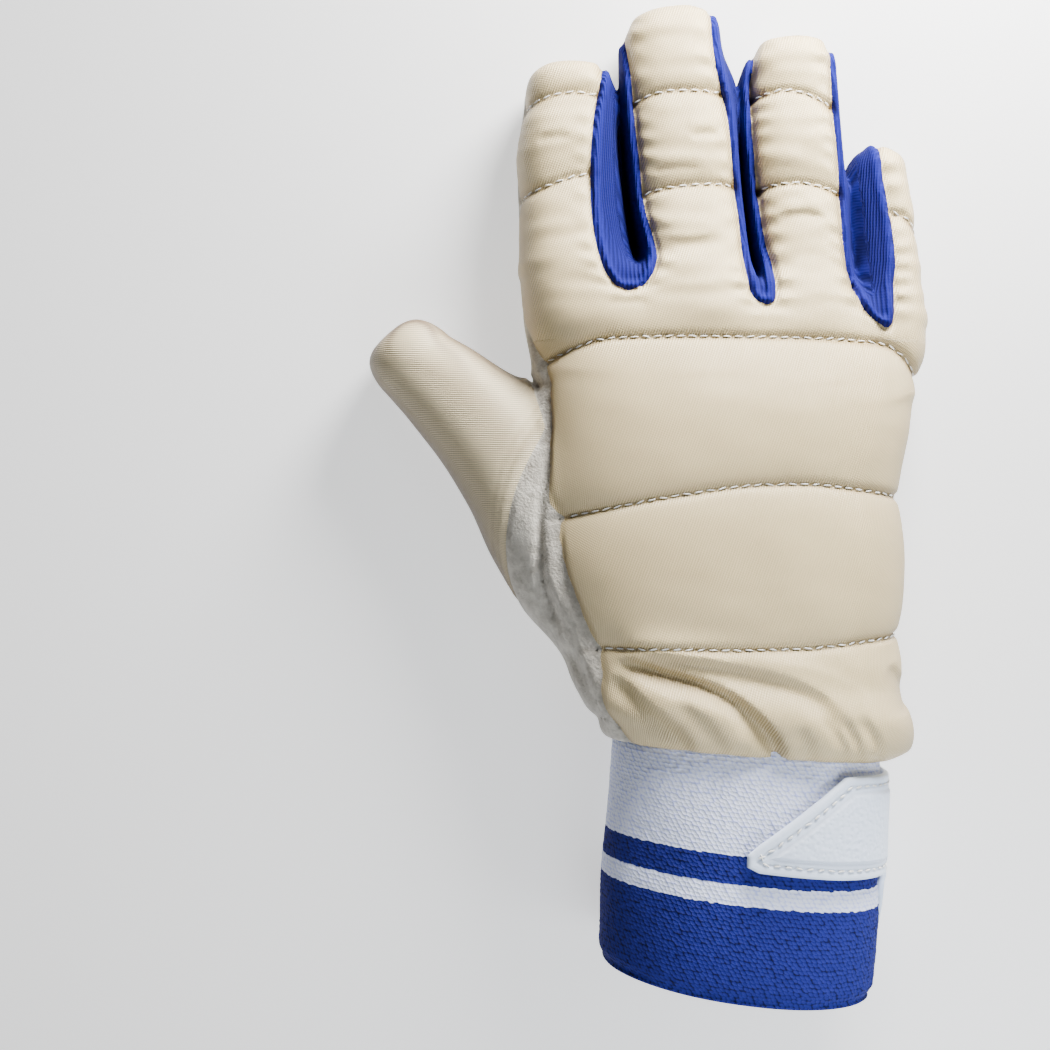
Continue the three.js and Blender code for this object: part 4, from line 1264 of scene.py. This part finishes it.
class CuffForm:
    """The cuff's outline, which the strap follows as well."""

    def __init__(self) -> None:
        """Reads the cuff's table."""
        self.table = np.array(CUFF, float)

    def point(self, angle: np.ndarray, offset: np.ndarray, down: np.ndarray) -> np.ndarray:
        """Points of the cuff's outline.

        Args:
            angle: place round the outline, from the little-finger side up over the back.
            offset: how far the outline is let out.
            down: depth below the cuff's start.

        Returns:
            The points, in table millimetres.
        """
        downs = self.table[:, 0]
        x, y, turn, w, top, bow = (eased(downs, self.table[:, i], down) for i in range(1, 7))
        beyond = down - np.clip(down, downs[0], downs[-1])
        turn = np.radians(turn)
        middle, half = (top + CUFF_LOW) / 2, (top - CUFF_LOW) / 2
        across = np.sign(np.cos(angle)) * np.abs(np.cos(angle)) ** (2 / CUFF_SQUARENESS)
        up = np.sign(np.sin(angle)) * np.abs(np.sin(angle)) ** (2 / CUFF_SQUARENESS)
        ahead = -beyond - bow * (1 - across**2) * (up > 0)
        wide = across * (w + offset)
        return np.stack([
            x + wide * np.cos(turn) - ahead * np.sin(turn),
            y + wide * np.sin(turn) + ahead * np.cos(turn),
            np.maximum(middle + up * (half + offset), CUFF_REST - offset),
        ], axis=-1)

    def angles_by_length(self, start: float, end: float, down: float, offset: float) -> tuple:
        """Angles from start to end with the distance walked to each."""
        angles = np.linspace(start, end, 4001)
        line = self.point(angles, np.full_like(angles, offset), np.full_like(angles, down))
        walked = np.concatenate([[0], np.cumsum(np.linalg.norm(np.diff(line, axis=0), axis=1))])
        return angles, walked


def grid_faces(rows: int, columns: int) -> np.ndarray:
    """Four-sided faces of a grid of points."""
    a = (np.arange(rows - 1)[:, None] * columns + np.arange(columns - 1)).ravel()
    return np.stack([a, a + 1, a + 1 + columns, a + columns], axis=-1)


@dataclass
class Cuff:
    """The knitted elastic wristband, whose loops are in its material."""

    form: CuffForm
    materials: Materials
    facet: float = 0.7

    def build(self) -> None:
        """Makes the band, slightly uneven, and closes it round the split."""
        split, other = (
            math.acos((edge / CUFF_HALF_AT_SPLIT) ** (CUFF_SQUARENESS / 2))
            for edge in (CUFF_SPLIT[0] + CUFF_SPLIT[1] / 2, CUFF_SPLIT[0] - CUFF_SPLIT[1] / 2))
        angles, walked = self.form.angles_by_length(-split, 2 * math.pi - other, 30, 0)
        columns = int(walked[-1] / self.facet)
        around = np.linspace(0, walked[-1], columns)
        angle = np.interp(around, walked, angles)
        top, bottom = CUFF[0][0], CUFF[-1][0]
        rows = int((bottom - top) / self.facet)
        downs = np.linspace(top, bottom, rows)
        i, j = np.meshgrid(np.arange(rows), np.arange(columns), indexing="ij")
        random = np.random.default_rng(CUFF_SEED)
        height = random.uniform(-CUFF_UNEVEN, CUFF_UNEVEN, i.shape)
        height = height + CUFF_WAVE * ripple(around[j], downs[i], 22, 4)
        height = height - 0.5 * ramp(bottom - 2.5, bottom, downs[i])
        outside = self.form.point(angle[j], height, downs[i])
        half = CUFF_WALL / 2
        rims = [(bottom + half * math.sin(a), -half + half * math.cos(a)) for a in CUFF_RIM]
        inner = [(d, -CUFF_WALL) for d in np.linspace(bottom - 1, top + 1, 14)]
        rims_top = [(top - half * math.sin(a), -half - half * math.cos(a)) for a in CUFF_RIM]
        rest = np.array(rims + inner + rims_top)
        level = np.zeros_like(angle)[None, :]
        more = self.form.point(angle[None, :], rest[:, 1:2] + level, rest[:, 0:1] + level)
        points = np.concatenate([outside, more], axis=0)
        total = points.shape[0]
        profile = np.concatenate([np.arange(total), [0]])
        number = np.arange(total * columns).reshape(total, columns)[profile]
        a, b, c, d = number[:-1, :-1], number[1:, :-1], number[1:, 1:], number[:-1, 1:]
        faces = [list(f) for f in np.stack([a, b, c, d], axis=-1).reshape(-1, 4)]
        faces.append(list(number[:-1, 0])[::-1])
        faces.append(list(number[:-1, -1]))
        depths = np.concatenate([downs, rest[:, 0]])
        cloth = np.stack([np.tile(around, total), np.repeat(depths, columns)], axis=1)
        made = make_mesh("cuff_elastic", points.reshape(-1, 3), faces, uv=cloth)
        made.data.materials.append(self.materials.made[Slot.ELASTIC])
        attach(made, BODY)
        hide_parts("wrist_cuff")
        LOG.info("%s: %d faces", made.name, len(faces))


@dataclass
class Strap:
    """The coated strap: sewn tab on the back, round the side, free end under the palm."""

    form: CuffForm
    materials: Materials
    border: float = 3.0

    def __post_init__(self) -> None:
        """Walks round the cuff from the tab's tip, so that a distance gives an angle."""
        start = math.acos(-((abs(STRAP_TAB) / CUFF_HALF_AT_TAB) ** (CUFF_SQUARENESS / 2)))
        self.angles, self.walked = self.form.angles_by_length(
            start, start - 2 * math.pi, STRAP_OUTLINE[0][1], STRAP_CLEAR + STRAP_THICK / 2)

    def angle_at(self, distance: np.ndarray) -> np.ndarray:
        """The angle round the cuff at a distance from the tab's tip."""
        return np.interp(distance, self.walked, self.angles)

    def build(self) -> None:
        """Makes the strap with its sewn border and its raised, grained panel."""
        outline = np.array(STRAP_OUTLINE, float)
        rounds = np.linspace(0, outline[-1, 0], 300)
        share = np.linspace(0, 1, 90)
        low, high = (np.interp(rounds, outline[:, 0], outline[:, i]) for i in (1, 2))
        down = low[:, None] + (high - low)[:, None] * share[None, :]
        around = rounds[:, None] + 0 * share[None, :]
        inside = self.edge_distance(around, down)
        panel = ramp(self.border + 0.9, self.border + 1.7, inside)
        rounding = 0.75 * (1 - np.sqrt(1 - (1 - np.clip(inside / 0.9, 0, 1)) ** 2))
        groove = 0.28 * hump(inside - self.border + 0.6, 0.5)
        outer = STRAP_CLEAR + 1.75 + 0.45 * panel - rounding - groove
        angle = self.angle_at(around)
        upper = self.form.point(angle, outer, down)
        upper[..., 2] = np.maximum(upper[..., 2], 0.0)
        lower = self.form.point(angle, STRAP_CLEAR + rounding * 0.6, down)
        rows, columns = down.shape
        number = np.arange(rows * columns).reshape(rows, columns)
        face = grid_faces(rows, columns)
        faces = [list(f) for f in face]
        faces += [list(f[::-1] + rows * columns) for f in face]
        rim = np.concatenate([number[0, :], number[1:, -1], number[-1, -2::-1], number[-2:0:-1, 0]])
        following = np.roll(rim, -1)
        faces += [[b, a, a + rows * columns, b + rows * columns] for a, b in zip(rim, following)]
        points = np.concatenate([upper.reshape(-1, 3), lower.reshape(-1, 3)])
        # Painted shade along the stitched groove, and a painted shade of 0.3 over the whole
        # underside.
        seam = np.clip(groove * 3.0 + 0.6 * hump(inside - self.border - 1.1, 0.5), 0, 1)
        painted_shade = np.concatenate([seam.ravel(), np.full(down.size, 0.3)])
        grained = np.concatenate([panel.ravel(), np.zeros(down.size)])
        made = make_mesh("strap_coated", points, faces, {"painted_shade": painted_shade, "panel": grained})
        made.data.materials.append(self.materials.made[Slot.STRAP])
        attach(made, BODY)
        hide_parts("wrist_strap")
        LOG.info("%s: %d faces", made.name, len(faces))

    def edge_distance(self, around: np.ndarray, down: np.ndarray) -> np.ndarray:
        """How far inside the strap's outline each place is, laid flat."""
        outline = np.array(STRAP_OUTLINE, float)
        edge = np.concatenate([outline[:, (0, 1)], outline[::-1][:, (0, 2)]])
        found = np.full(around.shape, MISSED)
        for a, b in zip(edge, np.roll(edge, -1, axis=0)):
            run = b - a
            t = span_share(around, down, a, run)
            dx, dy = around - a[0] - t * run[0], down - a[1] - t * run[1]
            found = np.minimum(found, np.hypot(dx, dy))
        return found

    def stitch_line(self) -> tuple[np.ndarray, np.ndarray]:
        """The border's stitched line and the way out of the surface along it."""
        outline = np.array(STRAP_OUTLINE, float)
        inset = self.border - 0.6
        rounds = np.arange(inset + 1.0, outline[-1, 0] - inset, 1.0)
        low, high = (np.interp(rounds, outline[:, 0], outline[:, i]) for i in (1, 2))
        slope = [np.gradient(edge, rounds) for edge in (low, high)]
        a = np.stack([rounds, low + inset * np.hypot(1, slope[0])], axis=1)
        b = np.stack([rounds, high - inset * np.hypot(1, slope[1])], axis=1)
        keep = b[:, 1] - a[:, 1] > 1.0
        flat = np.concatenate([a[keep], b[keep][::-1], a[keep][:1]])
        angle = self.angle_at(flat[:, 0])
        height = np.full(len(flat), STRAP_CLEAR + 1.74)
        points = self.form.point(angle, height, flat[:, 1])
        out = self.form.point(angle, height + 1.0, flat[:, 1]) - points
        points[:, 2] = np.maximum(points[:, 2], 0.25)
        out[np.linalg.norm(out, axis=1) < 1e-6] = (0, 0, -1)
        return points, out


class Stitching:
    """Runs of thread laid by Geometry Nodes along lines on the surface."""

    def __init__(self, material: bpy.types.Material) -> None:
        """Makes the stitches' tree for a thread."""
        self.material = material
        self.group = self._tree()

    def _tree(self) -> bpy.types.NodeTree:
        """Stitches along a line: spaced at the pitch, laid along it and turned to the surface."""
        group = bpy.data.node_groups.new("stitches", "GeometryNodeTree")
        for key, kind, value in (
                ("Geometry", "NodeSocketGeometry", None), ("Pitch", NUMBER, 0.0029),
                ("Length", NUMBER, 0.0022), ("Thickness", NUMBER, 0.00045),
                ("Tilt", NUMBER, 0.3), ("Thread", "NodeSocketMaterial", None),
                ("Seed", "NodeSocketInt", 5)):
            socket = group.interface.new_socket(key, in_out="INPUT", socket_type=kind)
            if value is not None:
                socket.default_value = value
        group.interface.new_socket("Geometry", in_out="OUTPUT", socket_type="NodeSocketGeometry")
        t = Tree(group)
        given = t.add("NodeGroupInput").outputs
        vector = {"data_type": "FLOAT_VECTOR"}

        curve = t.add("GeometryNodeMeshToCurve", Mesh=given["Geometry"])
        spaced = t.add("GeometryNodeResampleCurve", {"mode": "LENGTH"}, Curve=curve.outputs[0],
                       Length=given["Pitch"])
        tangent = t.add("GeometryNodeInputTangent")
        points = t.add("GeometryNodeStoreNamedAttribute", {**vector, "domain": "POINT"},
                       Geometry=spaced.outputs[0], Name="run", Value=tangent.outputs[0])

        ball = t.add("GeometryNodeMeshUVSphere", Segments=8, Rings=6, Radius=0.5)
        size = t.add("ShaderNodeCombineXYZ", X=given["Length"], Y=given["Thickness"],
                     Z=given["Thickness"])
        stitch = t.add("GeometryNodeTransform", Geometry=ball.outputs[0], Scale=size.outputs[0])

        run, out = (t.add("GeometryNodeInputNamedAttribute", vector, Name=name).outputs[0]
                    for name in ("run", "out"))
        along = t.add("FunctionNodeAlignRotationToVector", {"axis": "X"}, Vector=run)
        facing = t.add("FunctionNodeAlignRotationToVector", {"axis": "Z", "pivot_axis": "X"},
                       Rotation=along.outputs[0], Vector=out)
        jitter = t.add("FunctionNodeRandomValue", vector, Min=(-0.2, -0.3, -1.0),
                       Max=(0.2, 0.3, 1.0), Seed=given["Seed"])
        lean = t.add("ShaderNodeVectorMath", {"operation": "SCALE"}, Vector=jitter.outputs[0],
                     Scale=given["Tilt"])
        turn = t.add("FunctionNodeEulerToRotation", Euler=lean.outputs[0])
        turned = t.add("FunctionNodeRotateRotation", {"rotation_space": "LOCAL"},
                       Rotation=facing.outputs[0], Rotate_By=turn.outputs[0])

        placed = t.add("GeometryNodeInstanceOnPoints", Points=points.outputs[0],
                       Instance=stitch.outputs[0], Rotation=turned.outputs[0])
        real = t.add("GeometryNodeRealizeInstances", Geometry=placed.outputs[0])
        smooth = t.add("GeometryNodeSetShadeSmooth", Geometry=real.outputs[0])
        paint = t.add("GeometryNodeSetMaterial", Geometry=smooth.outputs[0],
                      Material=given["Thread"])
        t.add("NodeGroupOutput", Geometry=paint.outputs[0])
        return group

    def sew(self, name: str, lines: list, slot: Slot, **settings: float) -> None:
        """Lays stitches along lines.

        Args:
            name: the piece's name.
            lines: pairs of points and outward directions, in table millimetres.
            slot: the material slot of what it is sewn into; not used.
            settings: the node group's inputs by name, in metres.
        """
        points, edges, out = [], [], []
        for line, normals in lines:
            start = len(points)
            points += SPACE.metres(line).tolist()
            out += (normals / np.linalg.norm(normals, axis=1)[:, None]).tolist()
            edges += [(start + i, start + i + 1) for i in range(len(line) - 1)]
        mesh = bpy.data.meshes.new(name + "_line")
        mesh.from_pydata(points, edges, [])
        layer = mesh.attributes.new("out", "FLOAT_VECTOR", "POINT")
        layer.data.foreach_set("vector", np.array(out, np.float32).ravel())
        guide = bpy.data.objects.new(name + "_line", mesh)
        bpy.context.scene.collection.objects.link(guide)
        modifier = guide.modifiers.new("stitches", "NODES")
        modifier.node_group = self.group
        sockets = {s.name: s.identifier for s in self.group.interface.items_tree
                   if s.item_type == "SOCKET" and s.in_out == "INPUT"}
        modifier[sockets["Thread"]] = self.material
        for key, value in settings.items():
            modifier[sockets[key]] = value
        graph = bpy.context.evaluated_depsgraph_get()
        made_mesh = bpy.data.meshes.new_from_object(guide.evaluated_get(graph), depsgraph=graph)
        made = bpy.data.objects.new(name, made_mesh)
        bpy.context.scene.collection.objects.link(made)
        bpy.data.objects.remove(guide)
        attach(made, BODY)
        LOG.info("%s: %d faces", name, len(made_mesh.polygons))


@dataclass
class Sewing:
    """Every stitched line of the glove."""

    field: GloveField
    stitching: Stitching
    strap: Strap
    lift: float = 0.36  # how far the thread stands out of its channel

    def build(self) -> None:
        """Sews the back, the palm and the thumb, the vent and the strap's border."""
        back = [self._laid(line) for line in (*BACK_LINES, *FINGER_LINES)]
        self._run("quilting_thread", back, Slot.SATIN)
        palm = [self._laid(line, below=True) for line in (*PALM_LINES, THUMB_LINE)]
        self._run("palm_thread", palm, Slot.SUEDE, Pitch=0.0034, Length=0.0024)
        vent = [self._laid(line, below=True, near=0.0) for line in self._vent_lines()]
        self._run("vent_thread", vent, Slot.BINDING, Pitch=0.0026, Length=0.0016,
                  Thickness=0.00036)
        self._run("strap_thread", [self.strap.stitch_line()], Slot.STRAP, Pitch=0.0028,
                  Length=0.0019, Thickness=0.0005)

    def _run(self, name: str, lines: list, slot: Slot, **settings: float) -> None:
        """Sews those of some lines that lie on the glove."""
        self.stitching.sew(name, [line for line in lines if len(line[0]) > 3], slot, **settings)

    @staticmethod
    def _vent_lines() -> list:
        """The line along the vent's binding, in plan."""
        angle = math.radians(VENT["angle"])
        ahead = np.array([math.cos(angle), math.sin(angle)])
        out = np.array([math.sin(angle), -math.cos(angle)])
        start = np.array([VENT["x"], VENT["y"]]) - 0.8 * VENT["binding"] * out
        return [tuple(start + ahead * d for d in (4.0, 14.0, 24.0, VENT["length"] - 2))]

    def _laid(self, points: tuple, below: bool = False,
              near: float = 0.6) -> tuple[np.ndarray, np.ndarray]:
        """A stitched line laid on the surface.

        Args:
            points: the line's points in plan.
            below: whether it lies on the palm.
            near: how far it keeps from the side seam.

        Returns:
            Its points and the way out of the surface at each.
        """
        f = self.field
        line = f.top(curve_through(points, 0.8), below)
        line = line[np.isfinite(line[:, 2])]
        over = f.sample(f.over_seam, line)
        free = lowest(*[f.sample(g, line) for g in f.gussets.values()]) > 1.5
        keep = free & ((over < -near) if below else (over > near) & (line[:, 2] > 8.3))
        line = line[keep]
        steps = 0.4 * np.eye(3)
        out = np.stack([f.sample(f.outer, line + step) - f.sample(f.outer, line - step)
                        for step in steps], axis=1)
        far = np.maximum(np.linalg.norm(out, axis=1), 1e-6)[:, None]
        return line + self.lift * out / far, out


# name, place, size, power and colour
LIGHTS = (
    ("key", (0.11, 0.28, 0.125), 0.15, 5.6, (1.0, 0.99, 0.98)),
    ("overhead", (0.30, 0.20, 0.85), 0.5, 0.9, (0.92, 0.96, 1.0)),
    ("low_fill", (0.16, -0.19, 0.15), 0.12, 0.35, (0.90, 0.95, 1.0)),
    ("cuff_fill", (0.05, -0.24, 0.20), 0.15, 0.45, (0.86, 0.92, 1.0)),
)


@dataclass(frozen=True)
class Studio:
    """Camera, floor and soft lights, in metres."""

    height: float = 0.42
    lens: float = 52.1
    floor_half: float = 3.0
    floor_glow: float = 0.95
    room_light: float = 0.035
    aim: tuple[float, float, float] = (0.0, 0.0, 0.02)

    def build(self) -> None:
        """Sets the camera straight above the glove, the pale floor and the lights."""
        scene = bpy.context.scene
        camera = bpy.data.cameras.new("camera")
        camera.lens, camera.sensor_width = self.lens, 36.0
        camera.clip_start, camera.clip_end = 0.01, 20
        seen = bpy.data.objects.new("camera", camera)
        seen.location = (-FRAME_CENTRE[0] / 1000, -FRAME_CENTRE[1] / 1000, self.height)
        scene.collection.objects.link(seen)
        scene.camera = seen

        mesh = bpy.data.meshes.new("floor")
        r = self.floor_half
        mesh.from_pydata([(-r, -r, 0), (r, -r, 0), (r, r, 0), (-r, r, 0)], [], [(0, 1, 2, 3)])
        floor = bpy.data.objects.new("floor", mesh)
        material = bpy.data.materials.new("floor")
        material.use_nodes = True
        shader = material.node_tree.nodes["Principled BSDF"]
        shader.inputs["Base Color"].default_value = (0.6, 0.6, 0.6, 1)
        shader.inputs["Emission Color"].default_value = (1, 1, 1, 1)
        shader.inputs["Emission Strength"].default_value = self.floor_glow
        shader.inputs["Roughness"].default_value = 0.9
        mesh.materials.append(material)
        scene.collection.objects.link(floor)

        world = bpy.data.worlds.new("studio")
        scene.world = world
        world.use_nodes = True
        background = world.node_tree.nodes["Background"]
        background.inputs[0].default_value = (0.94, 0.97, 1.0, 1)
        background.inputs[1].default_value = self.room_light
        for light in LIGHTS:
            self._light(*light)

    def _light(self, name: str, place: tuple, size: float, power: float, colour: tuple) -> None:
        """Puts up one round light, aimed at the glove."""
        lamp = bpy.data.lights.new(name, "AREA")
        lamp.shape, lamp.size, lamp.energy, lamp.color = "DISK", size, power, colour
        made = bpy.data.objects.new(name, lamp)
        made.location = place
        ahead = Vector(self.aim) - Vector(place)
        made.rotation_euler = ahead.to_track_quat("-Z", "Y").to_euler()
        bpy.context.scene.collection.objects.link(made)


SLOTS = {
    "back_panel": Slot.SATIN,
    "palm_panel": Slot.SUEDE,
    "fourchette_index_middle": Slot.GUSSET,
    "fourchette_middle_ring": Slot.GUSSET,
    "fourchette_ring_little": Slot.GUSSET,
    "thumb_back": Slot.JERSEY,
    "thumb_front": Slot.SUEDE,
    "thumb_base_band": Slot.SUEDE,
    "vent_binding": Slot.BINDING,
}


def main() -> None:
    """Builds the whole picture."""
    logging.basicConfig(level=logging.INFO, format="%(message)s")
    Studio().build()
    materials = Materials()
    field = GloveField()
    Hand(field, materials, SLOTS).build()
    form = CuffForm()
    Cuff(form, materials).build()
    strap = Strap(form, materials)
    strap.build()
    Sewing(field, Stitching(materials.thread), strap).build()


if __name__ == "__main__":
    main()
